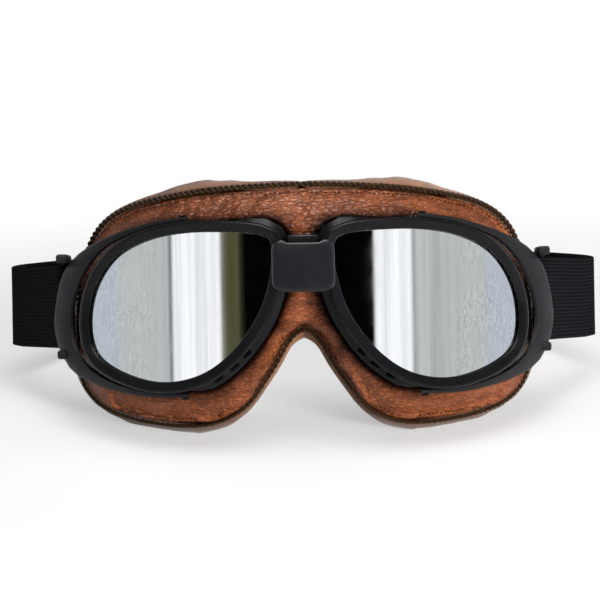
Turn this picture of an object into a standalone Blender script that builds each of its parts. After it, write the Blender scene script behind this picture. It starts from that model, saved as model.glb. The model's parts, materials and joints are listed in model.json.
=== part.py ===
"""Vintage motocross goggles: two mirrored lenses in a moulded frame, a leather
face pad, swinging strap arms and an elastic strap.

The goggles are drawn in their own upright frame, X to the wearer's left, Y towards
the face and Z up, and then leaned back as they stand, on the pad and the strap.
"""

from math import cos, degrees, pi, radians, sin

import bmesh
import bpy
import numpy as np
from mathutils import Matrix, Vector

# Clearances and fineness shared by all pieces
GAP = 0.0003
OVERRUN = 0.002
MERGE = 0.00002
RING_POINTS = 56
DENSE_POINTS = 720
CURVE_STEPS = 40
ROD_SIDES = 16
EDGE_STEPS = 2
SHARP_ANGLE = radians(38)
SOFT_ANGLE = radians(60)
PRINTED_PLACES = 5

# Front curve of the whole goggle, and the lens opening
WRAP_RADIUS = 0.128
LENS_WIDTH = 0.0657
LENS_HEIGHT = 0.0509
NOSE_HALF_WIDTH = 0.0099
LENS_CENTRE_X = NOSE_HALF_WIDTH + LENS_WIDTH / 2
LENS_CENTRE_Z = -0.00025
LENS_SIDE_X = LENS_CENTRE_X + LENS_WIDTH / 2
LENS_TOP_Z = LENS_CENTRE_Z + LENS_HEIGHT / 2
LENS_TUCK = 0.0012
LENS_THICKNESS = 0.002
LENS_SHARES = (
    (-0.994, 0.776), (-0.948, 0.898), (-0.830, 0.957), (-0.467, 0.996), (-0.053, 0.996),
    (0.352, 0.906), (0.702, 0.678), (0.933, 0.253), (1.0, -0.246), (0.909, -0.642),
    (0.589, -0.890), (0.190, -1.0), (-0.221, -0.898), (-0.556, -0.591),
    (-0.826, -0.116), (-0.954, 0.363),
)
LENS_RING_SHARES = (0.4, 0.74, 1.0)

# Rim, the convex bezel in front of the lens
RIM_WIDTH = 0.0039
RIM_DEPTH = 0.0042
RIM_LIP_DEPTH = 0.0019
RIM_LIP_THICKNESS = 0.001
RIM_CREST_SHARE = 0.72
RIM_SHOULDER_SHARE = 0.42
RIM_ROUND_SHARE = 0.12

# Eyecup, the deep half of the frame behind the rim
EYECUP_WIDTH = 0.0036
EYECUP_FLOOR = 0.0002
EYECUP_DEPTH = 0.0145
EYECUP_FLANGE_DEPTH = 0.0078
EYECUP_FLANGE_THICKNESS = 0.0042
EYECUP_CHAMFER = 0.0012
NOSE_FLANGE_EXTRA = 0.0026
NOSE_FLANGE_ANGLE = radians(196)
NOSE_FLANGE_SPREAD_SHARE = 0.25
NOSE_FLANGE_STEEPNESS = 2

# Bridge between the eyecups
BADGE_OVERLAP = 0.0006
BADGE_WIDTH = 2 * (NOSE_HALF_WIDTH + BADGE_OVERLAP)
BADGE_HEIGHT = 0.0175
BADGE_DROP = 0.0033
BADGE_TOP_Z = LENS_TOP_Z - BADGE_DROP
BADGE_THICKNESS = 0.0026
BADGE_CORNER = 0.0034
BADGE_SADDLE = 0.0009
BADGE_EDGE = 0.0009
BADGE_EDGE_SHARE = 0.25
BADGE_CORNER_STEPS = 4
BADGE_SADDLE_SHARES = (-0.5, 0.0, 0.5)
PEG_RADIUS = 0.0013
PEG_SPACING = 0.0052
LINK_SIDE_GAP = 0.001
LINK_WIDTH = 2 * (NOSE_HALF_WIDTH - EYECUP_WIDTH - LINK_SIDE_GAP)
LINK_HEIGHT = 0.0155
LINK_DROP = 0.0014
LINK_TOP_Z = LENS_TOP_Z - LINK_DROP
LINK_THICKNESS = 0.003
KEY_SIDE_GAP = 0.0011
LINK_KEY_WIDTH = LINK_WIDTH + 2 * (LINK_SIDE_GAP - NOSE_FLANGE_EXTRA - KEY_SIDE_GAP)
LINK_KEY_DEPTH = 0.0052
LINK_EDGE = 0.0006

# Strap arm, a C-shaped outrigger round the outer side of each eyecup
ARM_TIP_INSET = 0.00145
ARM_SIDE_MARGIN = 0.0147
ARM_HEIGHT_MARGIN = 0.00135
ARM_TIP_X = LENS_CENTRE_X - ARM_TIP_INSET
ARM_REACH = LENS_SIDE_X + ARM_SIDE_MARGIN - ARM_TIP_X
ARM_HALF_HEIGHT = LENS_HEIGHT / 2 + RIM_WIDTH + ARM_HEIGHT_MARGIN
ARM_TIP_FRONT = 0.0056
ARM_TIP_BACK = 0.0105
ARM_SIDE_FRONT = 0.0034
ARM_SIDE_SLOPE = 0.0026
ARM_SIDE_BACK = 0.0086
ARM_TIP_OVERHANG = 0.0016
ARM_OUTER_SHARES = (
    (0.0, 1.004), (0.18, 0.972), (0.36, 0.909), (0.60, 0.790), (0.80, 0.622),
    (0.93, 0.385), (0.990, 0.02), (1.0, -0.24), (0.962, -0.47), (0.860, -0.72),
    (0.70, -0.86), (0.50, -0.953), (0.25, -1.013), (0.0, -1.013),
)
ARM_INNER_SHARES = (
    (0.0, 0.957), (0.18, 0.921), (0.35, 0.842), (0.54, 0.715), (0.665, 0.53),
    (0.755, 0.31), (0.822, 0.02), (0.831, -0.24), (0.800, -0.45), (0.72, -0.642),
    (0.59, -0.79), (0.40, -0.906), (0.20, -0.968), (0.0, -0.968),
)
ARM_STATIONS = 30
ARM_SECTION_SHARES = (
    (0.0, 0.25, 0.0), (0.13, 0.0, 0.0), (0.55, 0.0, 0.33), (0.87, 0.0, 1.0),
    (1.0, 0.2, 1.0), (1.0, 0.8, 0.0), (0.8, 1.0, 0.0), (0.1, 1.0, 0.0),
)
PIN_RADIUS = 0.0008
PIN_HEAD_RADIUS = 0.0014
PIN_HEAD_HEIGHT = 0.0005
PIN_SEAT = 0.0016
PIN_DEPTH = 0.008

# Strap bar on the back of each arm
BAR_INSET = 0.0038
BAR_DEPTH = 0.01395
BAR_X = ARM_TIP_X + ARM_REACH - BAR_INSET
BAR_RADIUS = 0.0015
LUG_THICKNESS = 0.0032
LUG_LENGTH = 0.0042
LUG_SINK = 0.0026
LUG_EDGE = 0.0009

# Face pad: leather facing, foam core, lining and the overlocked edge
SKIN = 0.0009
EYE_GAP = 0.0007
FOAM_GAP = 0.0011
EYE_WALL = 0.0005
BINDING_RADIUS = 0.0011
SEAM_DEPTH = 0.0218
PAD_FRONT_DEPTH = 0.0114
PAD_CROWN = 0.0026
PAD_THICKNESS = 0.0132
PAD_BACK_DEPTH = SEAM_DEPTH + PAD_THICKNESS
PAD_BULGE = 0.0016
NOSE_RELIEF = 0.004
NOSE_RELIEF_WIDTH = 0.011
NOSE_RELIEF_TOP = 0.026
NOSE_RELIEF_FADE = 0.013
PAD_SIDE_MARGIN = 0.008
PAD_TOP_MARGIN = 0.018
PAD_HALF_WIDTH = LENS_SIDE_X + PAD_SIDE_MARGIN
PAD_TOP = LENS_TOP_Z + PAD_TOP_MARGIN
PAD_SHARES = (
    (0.0, 1.0), (0.2, 0.990), (0.4, 0.968), (0.6, 0.920), (0.76, 0.852), (0.862, 0.745),
    (0.925, 0.60), (0.965, 0.39), (0.990, 0.10), (1.0, -0.28), (0.994, -0.58),
    (0.945, -0.755), (0.86, -0.875), (0.72, -0.955), (0.55, -0.998), (0.42, -0.994),
    (0.335, -0.95), (0.235, -0.835), (0.16, -0.64), (0.100, -0.47), (0.055, -0.30),
    (0.0, -0.212),
)
PAD_OVERRUN_SHARES = ((-0.045, -0.26), (-0.1, -0.1), (-0.11, 0.4), (-0.1, 0.8), (-0.06, 0.99))
PAD_RAYS = 46
BINDING_POINTS = 60
FACING_CURVE = 1.7
FACING_SHARES = (0.0, 0.26, 0.52, 0.78)
LINING_SHARES = (0.5,)
CORE_INSET_SHARES = ((1.2, -0.7), (2.3, -0.5), (1.8, 0.0), (0.0, 1.6))
FOOT_CUT = 0.0005
LEAST_LEAN = radians(2)
MOST_LEAN = radians(40)
LEAN_STEPS = 40

# Elastic strap and its slide buckles
STRAP_WIDTH = 0.030
STRAP_THICKNESS = 0.0014
STRAP_Z = 0.00075
STRAP_BACK_RISE = 0.00735
STRAP_BACK_DEPTH = 0.0904
STRAP_FLARE = 0.0053
STRAP_STRAIGHT = 0.035
STRAP_DIRECTION = radians(54)
STRAP_TURN_SHARES = (
    (1.0, 0.12), (0.975, 0.33), (0.83, 0.63), (0.56, 0.865), (0.27, 0.975), (0.0, 1.0),
)
STRAP_STEPS = 44
STRAIGHT_STEPS = 6
FOLD_STEPS = 8
LOOP_STEPS = 9
LOOP_TURN = radians(240)
LOOP_TAIL = 0.0095
SEWN_LENGTH = 0.0042
BUCKLE_SHARE = 0.36
BUCKLE_TRAVEL_STEPS = 3
BUCKLE_LENGTH = 0.0136
BUCKLE_RAIL = 0.003
BUCKLE_SLACK = 0.0008
BUCKLE_HEIGHT = STRAP_WIDTH + 2 * (BUCKLE_RAIL + BUCKLE_SLACK)
BUCKLE_BAR = 0.0018
BUCKLE_EDGE = 0.0007


def wrap(x):
    """How far the front curve has gone back at a distance x from the middle."""
    return WRAP_RADIUS - np.sqrt(WRAP_RADIUS**2 - np.square(x))


def curve_through(points, count, closed=True):
    """Evenly spaced points on a smooth curve through the given ones."""
    points = np.asarray(points, float)
    if closed:
        ends = np.vstack([points[-1:], points, points[:2]])
    else:
        ends = np.vstack([2 * points[0] - points[1], points, 2 * points[-1] - points[-2]])
    t = np.linspace(0, 1, CURVE_STEPS, endpoint=False)[:, None]
    runs = []
    for a, b, c, d in zip(ends, ends[1:], ends[2:], ends[3:]):
        bend = 2 * a - 5 * b + 4 * c - d
        twist = 3 * b - a - 3 * c + d
        runs.append((2 * b + (c - a) * t + bend * t**2 + twist * t**3) / 2)
    fine = np.vstack(runs + [runs[0][:1] if closed else points[-1:]])
    length = np.r_[0, np.cumsum(np.linalg.norm(np.diff(fine, axis=0), axis=1))]
    at = np.linspace(0, length[-1], count, endpoint=not closed)
    return np.stack([np.interp(at, length, side) for side in fine.T], axis=1)


def outward(loop):
    """Unit normals of a clockwise closed outline."""
    along = np.roll(loop, -1, axis=0) - np.roll(loop, 1, axis=0)
    normal = np.stack([-along[:, 1], along[:, 0]], axis=1)
    return normal / np.linalg.norm(normal, axis=1)[:, None]


def offset(loop, distance):
    return loop + outward(loop) * np.reshape(distance, (-1, 1))


def at_depth(loop, depth):
    """The outline as points in space, laid on the front curve and moved back."""
    return np.stack([loop[:, 0], wrap(loop[:, 0]) + depth, loop[:, 1]], axis=1)


def lens_outline(count):
    centre = np.array([LENS_CENTRE_X, LENS_CENTRE_Z])
    half = np.array([LENS_WIDTH, LENS_HEIGHT]) / 2
    return curve_through(centre + np.array(LENS_SHARES) * half, count)


def flange_width(loop):
    """The eyecup's flange is wider beside the nose."""
    turn = np.arctan2(loop[:, 1] - LENS_CENTRE_Z, loop[:, 0] - LENS_CENTRE_X)
    facing = np.cos(turn - NOSE_FLANGE_ANGLE) - NOSE_FLANGE_SPREAD_SHARE
    rise = np.clip(facing / (1 - NOSE_FLANGE_SPREAD_SHARE) * NOSE_FLANGE_STEEPNESS, 0, 1)
    return EYECUP_WIDTH + NOSE_FLANGE_EXTRA * rise * rise * (3 - 2 * rise)


def material(name, colour, roughness, metallic=0.0):
    made = bpy.data.materials.new(name)
    made.use_nodes = True
    shader = made.node_tree.nodes["Principled BSDF"]
    shader.inputs["Base Color"].default_value = (*colour, 1)
    shader.inputs["Roughness"].default_value = roughness
    shader.inputs["Metallic"].default_value = metallic
    made.diffuse_color = (*colour, 1)
    return made


def new_object(name, mesh, look):
    made = bpy.data.objects.new(name, mesh)
    mesh.materials.append(look)
    PARTS.objects.link(made)
    return made


def loft(name, loops, look, around=True, joined=False, poles=(), capped=False):
    """A surface through loops of equally many points, faces turned outwards."""
    shape = bmesh.new()
    rows = [[shape.verts.new(point) for point in loop] for loop in loops]
    if joined:
        rows.append(rows[0])
    count = len(rows[0])
    for row, after in zip(rows, rows[1:]):
        for i in range(count if around else count - 1):
            j = (i + 1) % count
            shape.faces.new((row[i], row[j], after[j], after[i]))
    for row, pole in zip((rows[0], rows[-1]), poles):
        middle = shape.verts.new(pole)
        for i in range(count):
            shape.faces.new((row[i], row[(i + 1) % count], middle))
    if capped:
        shape.faces.new(rows[0])
        shape.faces.new(rows[-1])
    bmesh.ops.recalc_face_normals(shape, faces=shape.faces)
    mesh = bpy.data.meshes.new(name)
    shape.to_mesh(mesh)
    shape.free()
    return new_object(name, mesh, look)


def apply_modifiers(made):
    """Keeps what the modifiers give as the object's own mesh."""
    graph = bpy.context.evaluated_depsgraph_get()
    mesh = bpy.data.meshes.new_from_object(made.evaluated_get(graph))
    made.modifiers.clear()
    made.data = mesh


def smooth(made, angle=SHARP_ANGLE):
    made.data.shade_smooth()
    made.data.set_sharp_from_angle(angle=angle)


def box(name, low, high, look, edge=0.0):
    bpy.ops.mesh.primitive_cube_add(size=1)
    made = bpy.context.object
    low, high = Vector(low), Vector(high)
    fit = Matrix.Translation((low + high) / 2) @ Matrix.Diagonal((*(high - low), 1))
    made.data.transform(fit)
    if edge:
        rounding = made.modifiers.new("rounded edges", "BEVEL")
        rounding.width = edge
        rounding.segments = EDGE_STEPS
    return adopt(made, name, look)


def cylinder(name, radius, low, high, look):
    """A round rod between two points."""
    low, high = Vector(low), Vector(high)
    bpy.ops.mesh.primitive_cylinder_add(
        radius=radius, depth=(high - low).length, vertices=ROD_SIDES
    )
    made = bpy.context.object
    turn = (high - low).to_track_quat("Z", "Y").to_matrix().to_4x4()
    made.data.transform(Matrix.Translation((low + high) / 2) @ turn)
    return adopt(made, name, look)


def adopt(made, name, look):
    """Names a new primitive and moves it to the right collection."""
    for owner in list(made.users_collection):
        owner.objects.unlink(made)
    made.name = made.data.name = name
    if look is None:
        CUTTERS.objects.link(made)
        made.hide_render = True
        made.display_type = "WIRE"
    else:
        PARTS.objects.link(made)
        made.data.materials.append(look)
    return made


def combine(made, others, operation):
    """Joins other shapes to an object, or cuts them from it, and removes them."""
    for other in others:
        step = made.modifiers.new(operation.lower(), "BOOLEAN")
        step.operation = operation
        step.object = other
        apply_modifiers(made)
        bpy.data.objects.remove(other)


def mirrored(made, name):
    """The right-hand twin of a left-hand piece."""
    twin = bpy.data.objects.new(name, made.data.copy())
    twin.data.transform(Matrix.Scale(-1, 4, (1, 0, 0)))
    twin.data.flip_normals()
    PARTS.objects.link(twin)
    return twin


def make_rim(look):
    outline = lens_outline(RING_POINTS)
    seat = RIM_LIP_DEPTH + RIM_LIP_THICKNESS
    wall = LENS_TUCK + GAP
    crest = RIM_WIDTH * RIM_CREST_SHARE
    profile = (
        (0, RIM_LIP_DEPTH),
        (RIM_WIDTH * RIM_SHOULDER_SHARE, RIM_LIP_DEPTH * RIM_SHOULDER_SHARE),
        (crest, 0),
        ((crest + RIM_WIDTH) / 2, RIM_LIP_DEPTH * RIM_ROUND_SHARE),
        (RIM_WIDTH, RIM_LIP_DEPTH / 2),
        (RIM_WIDTH, RIM_DEPTH),
        (wall, RIM_DEPTH),
        (wall, seat),
        (0, seat),
    )
    loops = [at_depth(offset(outline, out), depth) for out, depth in profile]
    rim = loft("left_lens_rim", loops, look, joined=True)
    smooth(rim)
    return rim


def make_lens(look):
    outline = offset(lens_outline(RING_POINTS), LENS_TUCK)
    centre = np.array([LENS_CENTRE_X, LENS_CENTRE_Z])
    front = RIM_LIP_DEPTH + RIM_LIP_THICKNESS + GAP
    back = front + LENS_THICKNESS
    shares = [(share, front) for share in LENS_RING_SHARES]
    shares += [(share, back) for share in reversed(LENS_RING_SHARES)]
    loops = [at_depth(centre + share * (outline - centre), depth) for share, depth in shares]
    poles = [at_depth(centre[None, :], depth)[0] for depth in (front, back)]
    lens = loft("left_lens", loops, look, poles=poles)
    smooth(lens)
    return lens


def thicken(made, thickness, back):
    """Gives a sheet its thickness towards the face, or away from it."""
    shape = bmesh.new()
    shape.from_mesh(made.data)
    forward = sum(face.normal.y * face.calc_area() for face in shape.faces) < 0
    shape.free()
    wall = made.modifiers.new("thickness", "SOLIDIFY")
    wall.thickness = thickness
    wall.offset = -1 if forward == back else 1
    apply_modifiers(made)


def make_eyecup(look):
    outline = lens_outline(RING_POINTS)
    flange = flange_width(outline)
    front = RIM_DEPTH + GAP
    seat = RIM_LIP_DEPTH + RIM_LIP_THICKNESS + 2 * GAP + LENS_THICKNESS
    wall = LENS_TUCK + GAP
    flange_back = EYECUP_FLANGE_DEPTH + EYECUP_FLANGE_THICKNESS
    profile = (
        (EYECUP_FLOOR, seat),
        (wall, seat),
        (wall, front),
        (EYECUP_WIDTH, front),
        (EYECUP_WIDTH, EYECUP_FLANGE_DEPTH - EYECUP_CHAMFER),
        (flange, EYECUP_FLANGE_DEPTH),
        (flange, flange_back),
        (flange - EYECUP_CHAMFER, EYECUP_DEPTH),
        (EYECUP_FLOOR, EYECUP_DEPTH),
    )
    loops = [at_depth(offset(outline, out), depth) for out, depth in profile]
    eyecup = loft("left_eyecup", loops, look, joined=True)
    combine(eyecup, [pin_hole(1), pin_hole(-1)], "DIFFERENCE")
    smooth(eyecup)
    return eyecup


def pin_line(up):
    """Lower and upper end of a pivot pin, for the upper (1) or lower (-1) tip."""
    y = wrap(ARM_TIP_X) + PIN_DEPTH
    outer = ARM_HALF_HEIGHT * abs(ARM_OUTER_SHARES[0 if up > 0 else -1][1])
    inner = ARM_HALF_HEIGHT * abs(ARM_INNER_SHARES[0 if up > 0 else -1][1]) - PIN_SEAT
    return Vector((ARM_TIP_X, y, up * inner)), Vector((ARM_TIP_X, y, up * (outer + GAP)))


def pin_hole(up):
    """Cutter for the pivot's hole, through the tip and into the eyecup."""
    inner, outer = pin_line(up)
    along = (outer - inner).normalized()
    low, high = inner - along * GAP, outer + along * OVERRUN
    return cylinder("pin hole", PIN_RADIUS + GAP, low, high, None)


def make_pin(name, up, look):
    inner, outer = pin_line(up)
    along = (outer - inner).normalized()
    pin = cylinder(name, PIN_RADIUS, inner, outer + along * PIN_HEAD_HEIGHT / 2, look)
    head = cylinder("pin head", PIN_HEAD_RADIUS, outer, outer + along * PIN_HEAD_HEIGHT, look)
    combine(pin, [head], "UNION")
    smooth(pin)
    return pin


def arm_section(inner, outer, share):
    """Rounded section of the arm between its inner and outer edge, share 0 at the tips."""
    across = outer - inner
    front = ARM_TIP_FRONT + (ARM_SIDE_FRONT - ARM_TIP_FRONT) * share
    slope = ARM_SIDE_SLOPE * share
    back = ARM_TIP_BACK + (ARM_SIDE_BACK - ARM_TIP_BACK) * share
    place, through, sloped = np.array(ARM_SECTION_SHARES).T
    flat = inner + across * place[:, None]
    return at_depth(flat, front + (back - front) * through + slope * sloped)


def make_arm(look):
    size = np.array([ARM_REACH, ARM_HALF_HEIGHT])
    start = np.array([ARM_TIP_X, 0])
    outer = curve_through(start + np.array(ARM_OUTER_SHARES) * size, ARM_STATIONS, closed=False)
    inner = curve_through(start + np.array(ARM_INNER_SHARES) * size, ARM_STATIONS, closed=False)
    overhang = np.array([ARM_TIP_OVERHANG, 0])
    outer = np.vstack([outer[0] - overhang, outer, outer[-1] - overhang])
    inner = np.vstack([inner[0] - overhang, inner, inner[-1] - overhang])
    progress = np.clip((outer[:, 0] - ARM_TIP_X) / ARM_REACH, 0, 1)
    shares = progress * progress * (3 - 2 * progress)
    loops = [arm_section(*station) for station in zip(inner, outer, shares)]
    arm = loft("left_outrigger", loops, look, capped=True)
    combine(arm, [strap_bar(look)] + [lug(look, up) for up in (1, -1)], "UNION")
    combine(arm, [pin_hole(1), pin_hole(-1)], "DIFFERENCE")
    smooth(arm)
    return arm


def bar_y():
    """How far back the strap bar stands, behind the wrap of the arm."""
    return wrap(BAR_X) + BAR_DEPTH


def strap_bar(look):
    reach = Vector((0, 0, STRAP_WIDTH / 2 + LUG_THICKNESS))
    middle = Vector((BAR_X, bar_y(), STRAP_Z))
    return cylinder("strap bar", BAR_RADIUS, middle - reach, middle + reach, look)


def lug(look, up):
    """Moulded ear that carries one end of the strap bar from the back of the arm."""
    near = STRAP_Z + up * (STRAP_WIDTH / 2 + 2 * GAP)
    far = near + up * LUG_THICKNESS
    back = wrap(BAR_X - LUG_LENGTH / 2) + ARM_SIDE_BACK - LUG_SINK
    low = (BAR_X - LUG_LENGTH / 2, back, min(near, far))
    high = (BAR_X + LUG_LENGTH / 2, bar_y() + LUG_LENGTH / 2, max(near, far))
    return box("lug", low, high, look, LUG_EDGE)


def badge_outline():
    """Rounded badge outline with its top edge dipped between raised shoulders."""
    half = BADGE_WIDTH / 2
    bottom = BADGE_TOP_Z - BADGE_HEIGHT
    points = []
    for x, z, start in (
        (half - BADGE_CORNER, BADGE_TOP_Z - BADGE_CORNER, pi / 2),
        (half - BADGE_CORNER, bottom + BADGE_CORNER, 0),
        (BADGE_CORNER - half, bottom + BADGE_CORNER, -pi / 2),
        (BADGE_CORNER - half, BADGE_TOP_Z - BADGE_CORNER, -pi),
    ):
        for step in range(BADGE_CORNER_STEPS + 1):
            turn = start - step * pi / 2 / BADGE_CORNER_STEPS
            points.append((x + BADGE_CORNER * cos(turn), z + BADGE_CORNER * sin(turn)))
    dip = [(share * half, BADGE_TOP_Z - BADGE_SADDLE) for share in BADGE_SADDLE_SHARES]
    return np.array(points + dip)


def make_badge(look):
    outline = badge_outline()
    back = -GAP
    front = back - BADGE_THICKNESS
    round_edge = BADGE_EDGE * BADGE_EDGE_SHARE
    loops = []
    for loop, depth in (
        (offset(outline, -BADGE_EDGE), front),
        (offset(outline, -round_edge), front + round_edge),
        (outline, front + BADGE_EDGE),
        (outline, back),
    ):
        loops.append(np.stack([loop[:, 0], np.full(len(loop), depth), loop[:, 1]], axis=1))
    badge = loft("bridge_badge", loops, look, capped=True)
    combine(badge, [peg(side, look) for side in (-1, 1)], "UNION")
    smooth(badge)
    return badge


def link_face():
    """Depth of the bridge link's front face, just behind the rims."""
    return RIM_DEPTH + GAP


def peg_place(side, y):
    """A place on the line of one of the badge's two pegs."""
    return side * PEG_SPACING / 2, y, BADGE_TOP_Z - BADGE_HEIGHT / 2


def peg(side, look):
    front, back = -GAP - BADGE_THICKNESS / 2, link_face() + LINK_THICKNESS
    return cylinder("peg", PEG_RADIUS, peg_place(side, front), peg_place(side, back), look)


def peg_hole(side):
    """Cutter for a peg's hole, right through the link and its key."""
    back = link_face() + LINK_KEY_DEPTH + OVERRUN
    return cylinder("peg hole", PEG_RADIUS + GAP, peg_place(side, 0), peg_place(side, back), None)


def make_link(look):
    front = link_face()
    low_z = LINK_TOP_Z - LINK_HEIGHT
    half = LINK_WIDTH / 2
    link = box(
        "bridge_link", (-half, front, low_z), (half, front + LINK_THICKNESS, LINK_TOP_Z),
        look, LINK_EDGE,
    )
    key_half = LINK_KEY_WIDTH / 2
    key = box(
        "key", (-key_half, front + LINK_THICKNESS / 2, low_z + LINK_EDGE),
        (key_half, front + LINK_KEY_DEPTH, LINK_TOP_Z - LINK_EDGE), look,
    )
    apply_modifiers(link)
    combine(link, [key], "UNION")
    combine(link, [peg_hole(side) for side in (-1, 1)], "DIFFERENCE")
    smooth(link)
    return link


def pad_outline():
    """The half pad's edge, closed a little beyond the middle, where it is cut."""
    size = np.array([PAD_HALF_WIDTH, PAD_TOP])
    return curve_through(np.array(PAD_SHARES + PAD_OVERRUN_SHARES) * size, DENSE_POINTS)


def on_rays(loop):
    """Where rays from the lens centre meet a closed outline, clockwise from the top."""
    centre = np.array([LENS_CENTRE_X, LENS_CENTRE_Z])
    around = loop - centre
    turn = np.arctan2(around[:, 1], around[:, 0])
    order = np.argsort(turn)
    reach = np.linalg.norm(around, axis=1)
    rays = -np.arange(PAD_RAYS) * 2 * pi / PAD_RAYS + pi / 2
    length = np.interp(rays, turn[order], reach[order], period=2 * pi)
    return centre + np.stack([np.cos(rays), np.sin(rays)], axis=1) * length[:, None]


def nearest(points, loop):
    """Each point's distance to the nearest point of an outline."""
    return np.linalg.norm(points[:, None, :] - loop[None, :, :], axis=2).min(axis=1)


def skin_edge(edge):
    """The line where the leather and the lining end, inside the bound edge."""
    return offset(edge, -2 * BINDING_RADIUS - GAP)


def way_out(points, eye, edge):
    """Share of the way from the eyecup to the seam, the same on both sides of the middle."""
    folded = np.abs(points) * [1, 0] + points * [0, 1]
    seam = skin_edge(edge)
    to_eye, to_seam = nearest(folded, eye), nearest(folded, seam[seam[:, 0] > -GAP])
    return to_eye / (to_eye + to_seam)


def front_depth(points, eye, edge):
    """Depth of the leather: crowned near the eyecup, drawn in to the seam."""
    share = way_out(points, eye, edge)
    rise = (SEAM_DEPTH - PAD_FRONT_DEPTH) * share**FACING_CURVE
    crown = PAD_CROWN * np.sin(pi * share) * share
    return PAD_FRONT_DEPTH + rise - crown


def back_depth(points):
    """Depth of the pad's face side, hollowed out for the nose."""
    across = np.exp(-np.square(points[:, 0] / NOSE_RELIEF_WIDTH))
    height = np.clip((NOSE_RELIEF_TOP - points[:, 1]) / NOSE_RELIEF_FADE, 0, 1)
    return PAD_BACK_DEPTH - NOSE_RELIEF * across * height


def pad_loops():
    """The eye opening and the edge of the half pad, finely spaced."""
    fine = lens_outline(DENSE_POINTS)
    return offset(fine, flange_width(fine) + EYE_GAP), pad_outline()


def mirror_half(made):
    step = made.modifiers.new("both halves", "MIRROR")
    step.use_bisect_axis[0] = True
    step.merge_threshold = MERGE
    apply_modifiers(made)


def cut_at_middle(made):
    """Ends a sheet of the left half at the seam in the middle."""
    shape = bmesh.new()
    shape.from_mesh(made.data)
    everything = list(shape.verts) + list(shape.edges) + list(shape.faces)
    bmesh.ops.bisect_plane(
        shape, geom=everything, plane_co=(GAP / 2, 0, 0), plane_no=(-1, 0, 0), clear_outer=True
    )
    shape.to_mesh(made.data)
    shape.free()


def facing_loops():
    """Rows of the leather's front from the eyecup out to the seam."""
    eye, edge = pad_loops()
    inner = on_rays(eye)
    outer = on_rays(skin_edge(edge))
    loops = []
    for share in FACING_SHARES + (1.0,):
        flat = inner + (outer - inner) * share
        loops.append(at_depth(flat, front_depth(flat, eye, edge)))
    return np.array(loops)


def moved_in(loops, distance):
    """The same rows moved inwards, square to the surface that they make."""
    along = np.roll(loops, -1, axis=1) - np.roll(loops, 1, axis=1)
    across = np.gradient(loops, axis=0)
    normal = np.cross(along, across)
    normal /= np.linalg.norm(normal, axis=2)[..., None]
    return loops + normal * distance * np.sign(normal[..., 1].sum())


def make_facing(look):
    facing = loft("leather_facing", facing_loops(), look)
    mirror_half(facing)
    thicken(facing, SKIN, back=True)
    smooth(facing, SOFT_ANGLE)
    return facing


def lining_profile(skin):
    """(outline, depth) of the pad's face side, moved inwards by a skin thickness."""
    edge = pad_outline()
    inner = on_rays(offset(lens_outline(DENSE_POINTS), EYE_WALL + skin))
    roll = BINDING_RADIUS * 2
    start = SEAM_DEPTH + SKIN + GAP
    middle = (start + PAD_BACK_DEPTH) / 2
    profile = (
        (roll + GAP, start),
        (roll / 4, start + roll),
        (-PAD_BULGE, middle),
        (roll, PAD_BACK_DEPTH - roll / 2),
    )
    rows = []
    for (inset, depth), (inwards, forwards) in zip(profile, CORE_INSET_SHARES):
        flat = on_rays(offset(edge, -inset - inwards * skin))
        thinned = (back_depth(flat) - start) / (PAD_BACK_DEPTH - start)
        rows.append((flat, start + (depth - forwards * skin - start) * thinned))
    wide = rows[2][0]
    for share in LINING_SHARES:
        flat = inner + (wide - inner) * share
        rows.append((flat, back_depth(flat) - skin))
    rows.append((inner, back_depth(inner) - PAD_BULGE - skin))
    return rows, inner


def make_eye_lining(look):
    """The cloth round the eye opening, from the eyecup back to the seam at the face."""
    outline = lens_outline(DENSE_POINTS)
    inner, outer = on_rays(offset(outline, EYE_WALL)), on_rays(offset(outline, EYE_WALL + SKIN))
    front = np.full(PAD_RAYS, EYECUP_DEPTH + GAP + SKIN)
    back = back_depth(inner) - PAD_BULGE - SKIN - GAP
    corners = ((inner, front), (inner, back), (outer, back), (outer, front))
    lining = loft("left_eye_lining", [at_depth(*corner) for corner in corners], look, joined=True)
    smooth(lining)
    return lining


def make_face_lining(look):
    rows, _ = lining_profile(0)
    lining = loft("left_face_lining", [at_depth(flat, depth) for flat, depth in rows], look)
    cut_at_middle(lining)
    thicken(lining, SKIN, back=False)
    smooth(lining, SOFT_ANGLE)
    return lining


def make_core(look):
    inset = SKIN + FOAM_GAP
    rows, inner = lining_profile(inset)
    eye, edge = pad_loops()
    centre = np.array([LENS_CENTRE_X, LENS_CENTRE_Z])
    eye_reach = np.linalg.norm(on_rays(eye) - centre, axis=1)
    behind = EYECUP_DEPTH + 2 * GAP
    loops = [at_depth(flat, depth) for flat, depth in rows[1:] + [(inner, behind)]]
    front = moved_in(facing_loops(), inset)[1:]
    loops.append(at_depth((inner + front[0][:, [0, 2]]) / 2, behind))
    for row in front:
        within = np.linalg.norm(row[:, [0, 2]] - centre, axis=1) < eye_reach
        least = np.where(within, wrap(row[:, 0]) + behind, 0)
        row[:, 1] = np.maximum(row[:, 1], least)
        loops.append(row)
    core = loft("foam_core", loops, look, joined=True)
    mirror_half(core)
    smooth(core, SOFT_ANGLE)
    return core


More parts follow.
